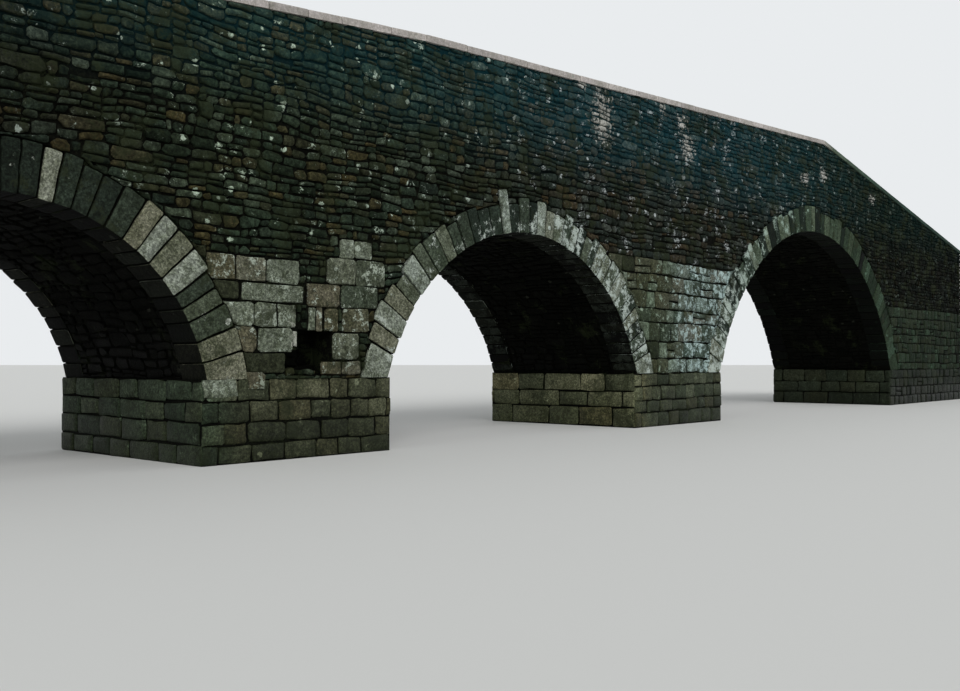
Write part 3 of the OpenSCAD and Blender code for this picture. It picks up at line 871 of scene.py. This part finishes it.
def clipRing(points, arch, joint):
    # Cuts an outline near the back of a ring, then lets its edge follow the ring's stones
    mu, mv = middleOf(points)
    away = math.hypot(mu - arch["x"], mv - arch["z"]) or 1.0
    if away > arch["back"] + ringReach:
        return points
    du, dv = (mu - arch["x"]) / away, (mv - arch["z"]) / away
    low = ringBackAt(arch, mu, mv) + joint - ringOverlap
    points = clipLine(points, (arch["x"] + du * low, arch["z"] + dv * low), (-du, -dv))
    fine = finer(points, ringStep) if len(points) > 2 else []
    moved = []
    for u, v in fine:
        push = max(1.0, (ringBackAt(arch, u, v) + joint) / math.hypot(u - arch["x"], v - arch["z"]))
        moved.append((arch["x"] + (u - arch["x"]) * push, arch["z"] + (v - arch["z"]) * push))
    changed = any(math.dist(a, b) > leastMove for a, b in zip(moved, fine))
    return moved if changed else points


def clipBox(points, box):
    # Cuts an outline back to the side of a box that keeps most of it
    u0, v0, u1, v1 = box
    if max(p[0] for p in points) <= u0 or min(p[0] for p in points) >= u1:
        return points
    if max(p[1] for p in points) <= v0 or min(p[1] for p in points) >= v1:
        return points
    sides = [((u0, v0), (1, 0)), ((u1, v1), (-1, 0)), ((u0, v0), (0, 1)), ((u1, v1), (0, -1))]
    return max((clipLine(points, origin, outward) for origin, outward in sides),
               key=lambda kept: area(kept) if len(kept) > 2 else 0.0)


cutShare = (0.34, 0.66)      # where a block is cut in two
highSpread = (0.6, 1.8)      # shares of the usual height and length over which a block is cut
longSpread = (0.5, 1.3)
thinGuard = 2.9              # a block is cut level only if it is this many times the thinnest stone


def rubbleCells(rng, zone, rule):
    # Bands cut at random into blocks, and blocks into stones
    cells = []
    low = zone[1] - rng.uniform(0, rule["band"][0])
    while low < zone[3]:
        high = low + rng.uniform(*rule["band"])
        left = zone[0] - rng.uniform(0, rule["block"][1])
        while left < zone[2]:
            right = left + rng.uniform(*rule["block"])
            heap = [(left, low, right, high)]
            while heap:
                a, b, c, d = heap.pop()
                share = rng.uniform(*cutShare)
                if d - b > max(rule["highest"] * rng.uniform(*highSpread), thinGuard * rule["thinnest"]):
                    heap += [(a, b, c, b + (d - b) * share), (a, b + (d - b) * share, c, d)]
                elif c - a > min(rule["longest"] * rng.uniform(*longSpread), rule["slender"] * (d - b)):
                    heap += [(a, b, a + (c - a) * share, d), (a + (c - a) * share, b, c, d)]
                else:
                    cells.append((a, b, c, d))
            left = right
        low = high
    return cells


def courseCells(rng, zone, rule):
    # Level courses of squared stones that fill the zone from foot to head
    count = max(1, round((zone[3] - zone[1]) / rule["course"]))
    heights = [rng.uniform(1 - rule["unequal"], 1 + rule["unequal"]) for _ in range(count)]
    cells = []
    low = zone[1]
    for height in heights:
        high = low + (zone[3] - zone[1]) * height / sum(heights)
        left = zone[0] - rng.uniform(0, rule["length"][1])
        while left < zone[2]:
            right = left + rng.uniform(*rule["length"])
            middle = (low + high) / 2
            if rng.random() < rule["split"]:
                cells += [(left, low, right, middle), (left, middle, right, high)]
            else:
                cells.append((left, low, right, high))
            left = right
        low = high
    return cells


jointSpread = (0.6, 1.5)     # shares of the usual joint that a stone's own may have
keptCorner = 0.25            # a corner that stays is still drawn in by this share of a cut
mostSway = 0.1               # shares of a stone's smaller side
bendAt = (0.3, 0.7)          # where a long side bends


def stoneOutline(rng, cell, rule):
    # A cell drawn in by half a joint, with some corners knocked off and long sides bent
    half = rule["joint"] / 2 * rng.uniform(*jointSpread)
    a, b, c, d = cell[0] + half, cell[1] + half, cell[2] - half, cell[3] - half
    size = min(c - a, d - b)
    if size < rule["least"]:
        return []
    points = []
    for i, (u, v, toU, toV) in enumerate([(a, b, 1, 1), (c, b, -1, 1), (c, d, -1, -1), (a, d, 1, -1)]):
        cutU, cutV = (size * rng.uniform(*rule["corner"]) for _ in range(2))
        if rng.random() < rule["cutCorners"]:
            pair = [(u, v + toV * cutV), (u + toU * cutU, v)]
            points += pair if i % 2 == 0 else pair[::-1]
        else:
            points.append((u + toU * cutU * keptCorner, v + toV * cutV * keptCorner))
    sway = min(rule["sway"], size * mostSway)
    bent = []
    for p, q in zip(points, points[1:] + points[:1]):
        share = rng.uniform(*bendAt)
        bent.append(p)
        if math.dist(p, q) > rule["stretch"]:
            bent.append((p[0] + (q[0] - p[0]) * share, p[1] + (q[1] - p[1]) * share))
    return [(u + rng.uniform(-sway, sway), v + rng.uniform(-sway, sway)) for u, v in bent]


waveSeed = 4        # without it, the waves would differ from run to run
calmReach = 0.3     # distance from a box over which the waves die down
waveRise = 1.6      # the waves are this much closer upwards than along
rippleRate = 4.0    # the ripples are this much closer than the waves
noise.seed_set(waveSeed)


def bend(point, rule, boxes):
    # Slow waves, so that courses and joints wander, that die down next to the boxes
    u, v = point
    spot = Vector((u * rule["waveScale"], v * rule["waveScale"] * waveRise, rule["seed"]))
    wave = noise.noise_vector(spot) * rule["wave"] + noise.noise_vector(spot * rippleRate) * rule["ripple"]
    away = min([math.hypot(max(a - u, 0, u - c), max(b - v, 0, v - d)) for a, b, c, d in boxes] + [calmReach])
    return u + wave.x * away / calmReach, v + wave.y * away / calmReach


lowShare = 0.7     # a cut cell may be lower than it may be short, by this share


def fitCells(cells, boxes, snap):
    # Cuts cells along the sides of the boxes that they reach, and stretches those that end just short of one
    for a, b, c, d in boxes:
        kept = []
        for cell in cells:
            left, low, right, high = cell
            if right <= a - snap or left >= c + snap or high <= b - snap or low >= d + snap:
                kept.append(cell)
                continue
            beside = low < d and high > b
            parts = []
            if left < a - snap * beside:
                parts.append((left, low, a if beside and right > a - snap else right, high))
            if right > c + snap * beside:
                parts.append((c if beside and left < c + snap else max(left, c), low, right, high))
            inLeft, inRight = max(left, a), min(right, c)
            if inRight > inLeft and low < b - snap:
                parts.append((inLeft, low, inRight, b if high > b - snap else high))
            if inRight > inLeft and high > d + snap:
                parts.append((inLeft, d if low < d + snap else low, inRight, high))
            kept += [(p, q, min(r, a) if p < a and q < d and t > b else r, t) for p, q, r, t in parts
                     if r - p > snap and t - q > snap * lowShare]
        cells = kept
    return cells


def tidyOutline(points, arris):
    # Drops points that stand closer together than most of the arris's width
    gap = arris * 0.9
    kept = []
    for p in points:
        if not kept or math.dist(p, kept[-1]) > gap:
            kept.append(p)
    if len(kept) > 3 and math.dist(kept[0], kept[-1]) <= gap:
        kept.pop()
    return kept


ringJoint = 0.7     # joint next to a ring, as a share of the usual one


def layOut(cells, rule, keepIn=(), rings=(), boxes=()):
    # Outlines of the stones that fit the zone, each with how far it stands proud, its lean and its tone
    rng = random.Random(rule["seed"])
    stones = []
    for cell in fitCells(cells, boxes, rule["snap"]):
        points = [bend(p, rule, boxes) for p in stoneOutline(rng, cell, rule)]
        proud, tone, missing = rng.uniform(*rule["proud"]), rng.random(), rng.random() < rule["missing"]
        tone = cell[4] if len(cell) > 4 else tone
        lean = [rng.uniform(-rule["lean"], rule["lean"]) for _ in range(2)]
        for origin, outward in keepIn:
            if len(points) > 2:
                points = clipLine(points, origin, outward)
        for arch in rings:
            if len(points) > 2:
                points = clipRing(points, arch, rule["joint"] * ringJoint)
        for box in boxes:
            if len(points) > 2:
                points = clipBox(points, box)
        points = tidyOutline(points, rule["arris"])
        if missing or len(points) < 3:
            continue
        around = sum(math.dist(p, q) for p, q in zip(points, points[1:] + points[:1]))
        if area(points) > rule["leastArea"] and area(points) / around > rule["least"] / 4:
            stones.append((points, proud, lean, tone))
    return stones


sharpest = 0.6     # holds back the corners of narrow angles


def inwardOf(points, i):
    # Direction that draws a corner in by one from both its sides
    p, q, r = Vector(points[i - 1]), Vector(points[i]), Vector(points[(i + 1) % len(points)])
    first, second = (q - p).normalized(), (r - q).normalized()
    n0, n1 = Vector((-first.y, first.x)), Vector((-second.y, second.x))
    return (n0 + n1) / max(sharpest, 1 + n0.dot(n1))


probe = 0.01       # step with which the directions on a surface are found
crownDraw = 0.45   # share of the way to its middle that a domed stone's crown is drawn in
crownTilt = 0.4    # share of a stone's tilt that its crown takes back


def facingMesh(stones, place, flip, rule):
    # Outlines set on a surface, just behind it, with the shifts that shape each stone's face
    verts, faces, topShift, crownShift = [], [], [], []
    for points, proud, lean, tone in stones:
        start = len(verts)
        mu, mv = middleOf(points)
        for i, (u, v) in enumerate(points):
            here = Vector(place(u, v))
            along = (Vector(place(u + probe, v)) - here) / probe
            up = (Vector(place(u, v + probe)) - here) / probe
            out = along.cross(up).normalized() * (-1 if flip else 1)
            drawn = inwardOf(points, i) * rule["arris"]
            tilt = max(-rule["tiltMost"], min(rule["tiltMost"], lean[0] * (u - mu) + lean[1] * (v - mv)))
            verts.append(here)
            topShift.append(along * drawn.x + up * drawn.y + out * tilt)
            crownShift.append((along * (mu - u) + up * (mv - v)) * crownDraw
                              + out * (rule["dome"] - tilt * crownTilt))
        ids = list(range(start, len(verts)))
        faces.append(ids[::-1] if flip else ids)
    mesh = bpy.data.meshes.new("outlines")
    mesh.from_pydata(verts, [], faces)
    setAttribute(mesh, "topShift", "FLOAT_VECTOR", "POINT", topShift)
    setAttribute(mesh, "crownShift", "FLOAT_VECTOR", "POINT", crownShift)
    setAttribute(mesh, "proud", "FLOAT", "FACE", [stone[1] for stone in stones])
    setAttribute(mesh, "tone", "FLOAT", "FACE", [stone[3] for stone in stones])
    return mesh


smoothAngles = {"facing": 40.0, "domedFacing": 60.0}     # degrees


def layFacing(name, stones, place, finish, rule, flip=False):
    inputs = {"Arris": rule["arris"], "Cuts": rule["cuts"], "Wear Depth": rule["wearDepth"],
              "Wear Scale": rule["wearScale"], "Material": finishes[finish]}
    kind = "domedFacing" if rule["dome"] > 0 else "facing"
    grow(name, facingMesh(stones, place, flip, rule), geometryGroups[kind], inputs, smoothAngles[kind])


def fillZone(makeCells, zone, rule, rings=(), boxes=()):
    # Stones that fill a zone from its left end and foot to its right end and head
    x0, z0, x1, z1 = zone
    limits = [((x0, z0), (-1, 0)), ((x1, z0), (1, 0)), ((x0, z0), (0, -1)), ((x0, z1), (0, 1))]
    cells = makeCells(random.Random(rule.get("cellSeed", rule["seed"])), zone, rule)
    return layOut(cells, rule, limits, rings, boxes)


sunk = 0.012     # how far behind its wall a stone starts


def onFront(u, v):
    return u, faceY + sunk, v


def onBack(u, v):
    return u, -faceY - sunk, v


def acrossAt(x, facing):
    # Surface across the bridge that faces the right end (1) or the left one (-1)
    return lambda u, v: (x - facing * sunk, u, v)


faceSides = (("front", onFront, False), ("back", onBack, True))


# Squared stones of the left pier's front, as they lie
squaredRule = {
    "course": 0.27, "unequal": 0.2, "length": (0.26, 0.56), "split": 0.06, "joint": 0.022,
    "corner": (0.04, 0.14), "cutCorners": 0.8, "sway": 0.012, "stretch": 0.2, "least": 0.05,
    "leastArea": 0.006, "wave": 0.035, "waveScale": 0.5, "ripple": 0.01, "snap": 0.05, "proud": (0.032, 0.05),
    "lean": 0.04, "tiltMost": 0.008, "dome": 0.005, "missing": 0.0, "arris": 0.013, "wearDepth": 0.003,
    "wearScale": 7.0, "cuts": 0, "seed": 21,
}
leftPier = {
    "courses": [     # foot and head, then each stone's ends from the pier's left springing and its tone
        (2.17, 2.49, ((-0.02, 0.38, 0.5), (0.38, 0.82, 0.72), (0.82, 1.33, 0.93))),
        (1.94, 2.18, ((0.07, 0.44, 0.01), (0.46, 1.4, 0.88))),
        (1.63, 1.94, ((0.15, 0.65, 0.88), (0.65, 0.99, 0.84), (0.99, 1.29, 0.84))),
        (1.32, 1.64, ((0.33, 0.7, 0.56), (0.7, 1.23, 0.9))),
        (1.07, 1.32, ((0.35, 1.11, 0.01),)),
        (2.57, 2.83, ((1.98, 2.22, 0.9), (2.22, 2.55, 0.96))),
        (2.21, 2.57, ((1.76, 2.26, 0.8), (2.26, 2.78, 0.26))),
        (1.91, 2.22, ((1.44, 1.99, 0.6), (2.0, 2.66, 0.16))),
        (1.6, 1.92, ((1.47, 1.6, 0.86), (1.6, 1.71, 0.66), (1.73, 1.97, 0.52), (2.03, 2.5, 0.44))),
        (1.23, 1.6, ((1.86, 2.33, 0.8),)),
        (1.04, 1.23, ((1.68, 2.02, 0.54), (2.02, 2.36, 0.7))),
    ],
    # a block over the edge of the base, one on the base and a pale sliver beside the hole: foot, head, ends,
    # tone and how far each stands out
    "blocks": ((0.88, 1.08, 0.55, 0.79, 0.6, 0.075), (0.79, 1.0, -0.055, 0.41, 0.98, 0.055),
               (1.4, 1.6, 1.235, 1.305, 1.0, 0.03)),
    "hole": ((1.12, 1.84, 1.04, 1.36), (1.31, 1.87, 1.04, 1.62)), "holeDepth": 0.4,
}
pierFoot = arches["left"]["x1"]
allArches = list(arches.values())
handRule = dict(squaredRule, wave=0.012, ripple=0.005, sway=0.007, corner=(0.04, 0.16), dome=0.0, cuts=2,
                least=0.03, leastArea=0.003, wearDepth=0.0045)
roughRule = dict(handRule, sway=0.018)
handCells = [(pierFoot + start, foot, pierFoot + end, head, tone)
             for foot, head, stones in leftPier["courses"] for start, end, tone in stones]
handBoxes = [cell[:4] for cell in handCells]
laid = layOut(handCells, handRule, rings=allArches)
for foot, head, start, end, tone, proud in leftPier["blocks"]:
    cell = (pierFoot + start, foot, pierFoot + end, head, tone)
    handBoxes.append(cell[:4])
    laid += [(points, proud, lean, tone) for points, _, lean, tone in layOut([cell], roughRule)]
layFacing("pier_left_stones_front", laid, onFront, "pierGranite", handRule)
holeBoxes = [(pierFoot + a, c, pierFoot + b, d) for a, b, c, d in leftPier["hole"]]
print("left pier laid")

# Squared courses on the other piers, the abutments and the bases
leftCrown, middleCrown, rightCrown = (arch["x"] for arch in allArches)
rightHigher = 0.35     # the squared stones of the right pier reach this much higher
squaredZones = [     # name, then left end, foot, right end and head, then course
    ("abutment_left_stones", (leftX, springZ, leftCrown, pierTopZ), 0.27),
    ("pier_right_stones", (middleCrown, springZ, rightCrown, pierTopZ + rightHigher), 0.29),
    ("abutment_right_stones", (rightCrown, springZ, rightX, pierTopZ), 0.25),
]
for side, place, flip in faceSides:
    for name, zone, course in squaredZones:
        rule = dict(squaredRule, course=course, length=(course * 0.8, course * 2.0), unequal=0.32, split=0.16,
                    ripple=0.03, joint=0.026, seed=len(name) + 31 * flip)
        stones = fillZone(courseCells, zone, rule, allArches)
        layFacing(name + "_" + side, stones, place, "pierGranite", rule, flip)
rule = dict(squaredRule, seed=77, cellSeed=5)
leftPierZone = (leftCrown, springZ, middleCrown, pierTopZ)
stones = fillZone(courseCells, leftPierZone, rule, allArches)
layFacing("pier_left_stones_back", stones, onBack, "pierGranite", rule, True)

baseRule = dict(squaredRule, course=0.24, unequal=0.12, length=(0.3, 0.56), proud=(0.026, 0.04), wave=0.015)
# the sides of the bases that face the arches have larger stones
cheekCourses = {
    "abutment_base_left": {"course": 0.26, "length": (0.4, 0.7), "split": 0.0},
    "pier_base_left": {"course": 0.26, "length": (0.4, 0.7), "split": 0.0},
    "pier_base_right": {"course": 0.33, "length": (0.55, 1.0), "split": 0.0},
    "abutment_base_right": {"course": 0.3, "length": (0.45, 0.8)},
}
for base, cheek in cheekCourses.items():
    low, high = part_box(base)
    for side, place, flip in faceSides:
        rule = dict(baseRule, seed=len(base) + 7 * flip)
        stones = fillZone(courseCells, (low.x, 0.0, high.x, high.z), rule)
        layFacing(base + "_stones_" + side, stones, place, "baseGranite", rule, flip)
    for side, x, facing in (("left", low.x, -1), ("right", high.x, 1)):
        if leftX < x < rightX:
            rule = dict(baseRule, seed=len(base) + 40 + facing, **cheek)
            stones = fillZone(courseCells, (faceY, 0.0, -faceY, high.z), rule)
            layFacing(base + "_stones_" + side, stones, acrossAt(x, facing), "baseGranite",
                      rule, facing < 0)
print("squared stones laid")

# Rubble of the face walls and parapets
rubbleRule = {
    "band": (0.2, 0.46), "block": (0.3, 1.0), "highest": 0.12, "thinnest": 0.05, "longest": 0.42,
    "slender": 4.5, "joint": 0.02, "corner": (0.12, 0.48), "cutCorners": 0.7, "sway": 0.018, "stretch": 0.2,
    "least": 0.024, "leastArea": 0.0009, "wave": 0.06, "waveScale": 0.8, "ripple": 0.032, "snap": 0.045,
    "proud": (0.026, 0.056), "lean": 0.1, "tiltMost": 0.01, "dome": 0.008, "missing": 0.0015, "arris": 0.01,
    "wearDepth": 0.004, "wearScale": 12.0, "cuts": 0, "seed": 51,
}
rubbleZones = [("left_end", leftX, leftCrown), ("left", leftCrown, middleCrown),
               ("right", middleCrown, rightCrown), ("right_end", rightCrown, rightX)]


def underCoping():
    # Half planes below the coping of each ramp
    limits = []
    for (x0, z0), (x1, z1) in zip(rampEnds, rampEnds[1:]):
        length = math.hypot(x1 - x0, z1 - z0)
        limits.append(((x0, z0 - copingThick), (-(z1 - z0) / length, (x1 - x0) / length)))
    return limits


zoneLap = 0.01     # the squared zones are taken a little longer, to leave no gap between them
for side, place, flip in faceSides:
    rule = dict(rubbleRule, seed=rubbleRule["seed"] + flip, dome=0.0 if flip else rubbleRule["dome"])
    squared = [(x0 - zoneLap, z0, x1 + zoneLap, z1) for _, (x0, z0, x1, z1), _ in squaredZones]
    squared += [box for arch in allArches for box in tallBoxes(arch, rule["joint"])]
    if side == "front":
        squared += handBoxes + holeBoxes
    else:
        squared.append(leftPierZone)
    top = max(z for _, z in rampEnds)
    cells = rubbleCells(random.Random(rule["seed"]), (leftX, springZ, rightX, top), rule)
    ends = [((leftX, 0), (-1, 0)), ((rightX, 0), (1, 0)), ((0, springZ), (0, -1))]
    stones = layOut(cells, rule, ends + underCoping(), allArches, squared)
    for name, x0, x1 in rubbleZones:
        mine = [stone for stone in stones if x0 <= middleOf(stone[0])[0] < x1]
        layFacing("rubble_" + side + "_" + name, mine, place, "wallRubble", rule, flip)
print("rubble laid")

# Rubble at the back of the hole, and the stones that lie in it
plainRubble = dict(rubbleRule, dome=0.0)
holeRule = dict(plainRubble, missing=0.0, seed=95, cellSeed=96)
lowHole, highHole = holeBoxes
holeBackY = faceY + leftPier["holeDepth"] + sunk
stones = []
for zone in (lowHole, (highHole[0], lowHole[3], highHole[2], highHole[3])):
    stones += fillZone(rubbleCells, zone, holeRule)
# the back of the hole takes the near-black finish of painted shade
layFacing("hole_stones_back", stones, lambda u, v: (u, holeBackY, v), "paintedShadeRubble", holeRule)
looseStones = {"count": 7, "halfSize": (0.03, 0.075), "shape": (1.3, 1.1, 0.7), "fromSide": 0.1,
               "depth": (0.1, 0.3), "slope": 0.25, "seed": 12,
               "Bevel": 0.018, "Wear Depth": 0.008, "Wear Scale": 9.0}


def loosePoints(s):
    rng = random.Random(s["seed"])
    rows = []
    width = lowHole[2] - lowHole[0] - 2 * s["fromSide"]
    for i in range(s["count"]):
        half = [rng.uniform(*s["halfSize"]) * share for share in s["shape"]]
        x = lowHole[0] + s["fromSide"] + width * (i + 0.5) / s["count"]
        middle = (x, faceY + rng.uniform(*s["depth"]), lowHole[1] + half[2])
        rows.append((middle, half, rng.uniform(-s["slope"], s["slope"]), rng.random()))
    return pointsMesh(rows)


def pointsMesh(rows):
    # A point for each block, with its middle, half size, slope and tone
    middles, halves, slopes, tones = zip(*rows)
    mesh = bpy.data.meshes.new("slabPoints")
    mesh.from_pydata(middles, [], [])
    setAttribute(mesh, "middle", "FLOAT_VECTOR", "POINT", middles)
    setAttribute(mesh, "halfSize", "FLOAT_VECTOR", "POINT", halves)
    setAttribute(mesh, "slope", "FLOAT", "POINT", slopes)
    setAttribute(mesh, "tone", "FLOAT", "POINT", tones)
    return mesh


grow("hole_loose_stones", loosePoints(looseStones), geometryGroups["slabs"],
     blockInputs(looseStones, "wallRubble"))

# Vault soffits, inner faces of the parapets and the two ends
vaultRule = dict(plainRubble, band=(0.26, 0.5), block=(0.4, 1.2), highest=0.17, longest=0.55,
                 proud=(0.03, 0.05))
for arch in allArches:
    soffit = arch["radius"] + 0.03     # the rubble vault stands back from the ring stones
    low, high = arch["springing"] * soffit, (math.pi - arch["springing"]) * soffit
    rule = dict(vaultRule, seed=60 + arch["seed"])
    stones = fillZone(rubbleCells, (vaultFrontY, low, -vaultFrontY, high), rule)

    def onSoffit(u, v, arch=arch, soffit=soffit):
        angle, radius = v / soffit, soffit + sunk
        return arch["x"] + radius * math.cos(angle), u, arch["z"] + radius * math.sin(angle)
    # the soffits take the near-black finish of painted shade
    layFacing("vault_stones_" + arch["name"], stones, onSoffit, "paintedShadeRubble", rule, True)


def roadLevel(x):
    return copingTop(x) - copingThick - parapetHigh


innerRule = dict(plainRubble, highest=0.15, longest=0.5, proud=(0.02, 0.036), tiltMost=0.005)
for side, y, flip in (("front", innerY - sunk, True), ("back", sunk - innerY, False)):
    rule = dict(innerRule, seed=70 + flip)
    stones = fillZone(rubbleCells, (leftX, 0.0, rightX, parapetHigh), rule)

    def onParapet(u, v, y=y):
        return u, y, roadLevel(u) + v
    layFacing("parapet_stones_inner_" + side, stones, onParapet, "wallRubble", rule, flip)

overParapet = 1.0     # the gap between the parapets runs past the head of an end wall
for name, x, facing in (("left", leftX, -1), ("right", rightX, 1)):
    road = roadLevel(x)
    head = road + parapetHigh
    rule = dict(innerRule, seed=80 + facing)
    gap = (innerY, road, -innerY, head + overParapet)
    stones = fillZone(rubbleCells, (faceY, 0.0, -faceY, head), rule, boxes=[gap])
    layFacing("end_stones_" + name, stones, acrossAt(x, facing), "wallRubble", rule,
              facing < 0)
print("vaults, parapets and ends laid")

# Road
pavingRule = dict(squaredRule, course=0.36, unequal=0.15, length=(0.3, 0.75), joint=0.018,
                  proud=(0.016, 0.026), arris=0.006, dome=0.0, tiltMost=0.003, seed=90, wave=0.02)
stones = fillZone(courseCells, (innerY, leftX, -innerY, rightX), pavingRule)
layFacing("road_flags", stones, lambda u, v: (v, u, roadLevel(v) - sunk), "pavingStone",
          pavingRule, True)
print("road paved")

# Coping slabs
copingSettings = {"slab": 0.72, "uneven": 0.32, "joint": 0.008, "out": 0.05, "in": 0.03, "rise": 0.002,
                  "tilt": 0.002, "seed": 101, "Bevel": 0.009, "Wear Depth": 0.0016, "Wear Scale": 9.0}


def slabPoints(side, s):
    rng = random.Random(s["seed"] + (side == "back"))
    rows = []
    y = (faceY - s["out"] + innerY + s["in"]) / 2
    halfDeep = (innerY + s["in"] - faceY + s["out"]) / 2
    for (x0, z0), (x1, z1) in zip(rampEnds, rampEnds[1:]):
        shares = [rng.uniform(1 - s["uneven"], 1 + s["uneven"]) for _ in range(round((x1 - x0) / s["slab"]))]
        slope = math.atan2(z1 - z0, x1 - x0)
        start = x0
        for share in shares:
            end = start + (x1 - x0) * share / sum(shares)
            middle = (start + end) / 2
            z = copingTop(middle) - copingThick / 2 / math.cos(slope) + rng.uniform(-s["rise"], s["rise"])
            half = ((end - start - s["joint"]) / 2 / math.cos(slope), halfDeep, copingThick / 2)
            tilt = rng.uniform(-s["tilt"], s["tilt"])
            rows.append(((middle, y if side == "front" else -y, z), half, tilt - slope, rng.random()))
            start = end
    return pointsMesh(rows)


for side in ("front", "back"):
    slabs = grow("coping_slabs_" + side, slabPoints(side, copingSettings), geometryGroups["slabs"],
                 blockInputs(copingSettings, "copingGranite"))
    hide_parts(*["coping_" + side + "_" + part for part in ("left", "middle", "right")])
print("coping laid")

# Finish of the solids that show in the joints
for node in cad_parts.values():
    node.data.materials.clear()
    node.data.materials.append(finishes["mortarCore"])

# Floor, sky and light
stageSettings = {"floorSize": 2400, "floorLevel": -0.001, "floorColour": "#d9d9d6", "floorRoughness": 0.9,
                 "skyColour": "#e9ecee", "skyLight": 0.62, "keyStrength": 1.6, "keyAngle": 35.0,
                 "keyTurn": (52.0, 0.0, -28.0)}


def setStage(s):
    bpy.ops.mesh.primitive_plane_add(size=s["floorSize"], location=(0, 0, s["floorLevel"]))
    floor = bpy.context.object
    floor.name = "floor"
    material = bpy.data.materials.new("paleFloor")
    material.use_nodes = True
    shader = material.node_tree.nodes["Principled BSDF"]
    shader.inputs["Base Color"].default_value = paint(s["floorColour"])
    shader.inputs["Roughness"].default_value = s["floorRoughness"]
    floor.data.materials.append(material)
    floor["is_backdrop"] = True
    world = bpy.data.worlds.new("sky")
    bpy.context.scene.world = world
    world.use_nodes = True
    tree = world.node_tree
    ground = tree.nodes["Background"]
    ground.inputs["Color"].default_value = paint(s["skyColour"])
    rays = put(tree, "ShaderNodeLightPath").outputs
    mirrored = calc(tree, "MAXIMUM", rays["Is Glossy Ray"], rays["Is Transmission Ray"])
    seen = calc(tree, "MAXIMUM", rays["Is Camera Ray"], mirrored)
    strength = calc(tree, "MULTIPLY_ADD", seen, 1.0 - s["skyLight"], s["skyLight"])
    feed(tree, ground.inputs["Strength"], strength)
    lamp = bpy.data.lights.new("key", "SUN")
    lamp.energy = s["keyStrength"]
    lamp.angle = math.radians(s["keyAngle"])
    key = bpy.data.objects.new("key", lamp)
    key.rotation_euler = [math.radians(a) for a in s["keyTurn"]]
    bpy.context.scene.collection.objects.link(key)
    bpy.context.scene.view_settings.view_transform = "Standard"


setStage(stageSettings)
print("stage set")

low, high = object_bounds()
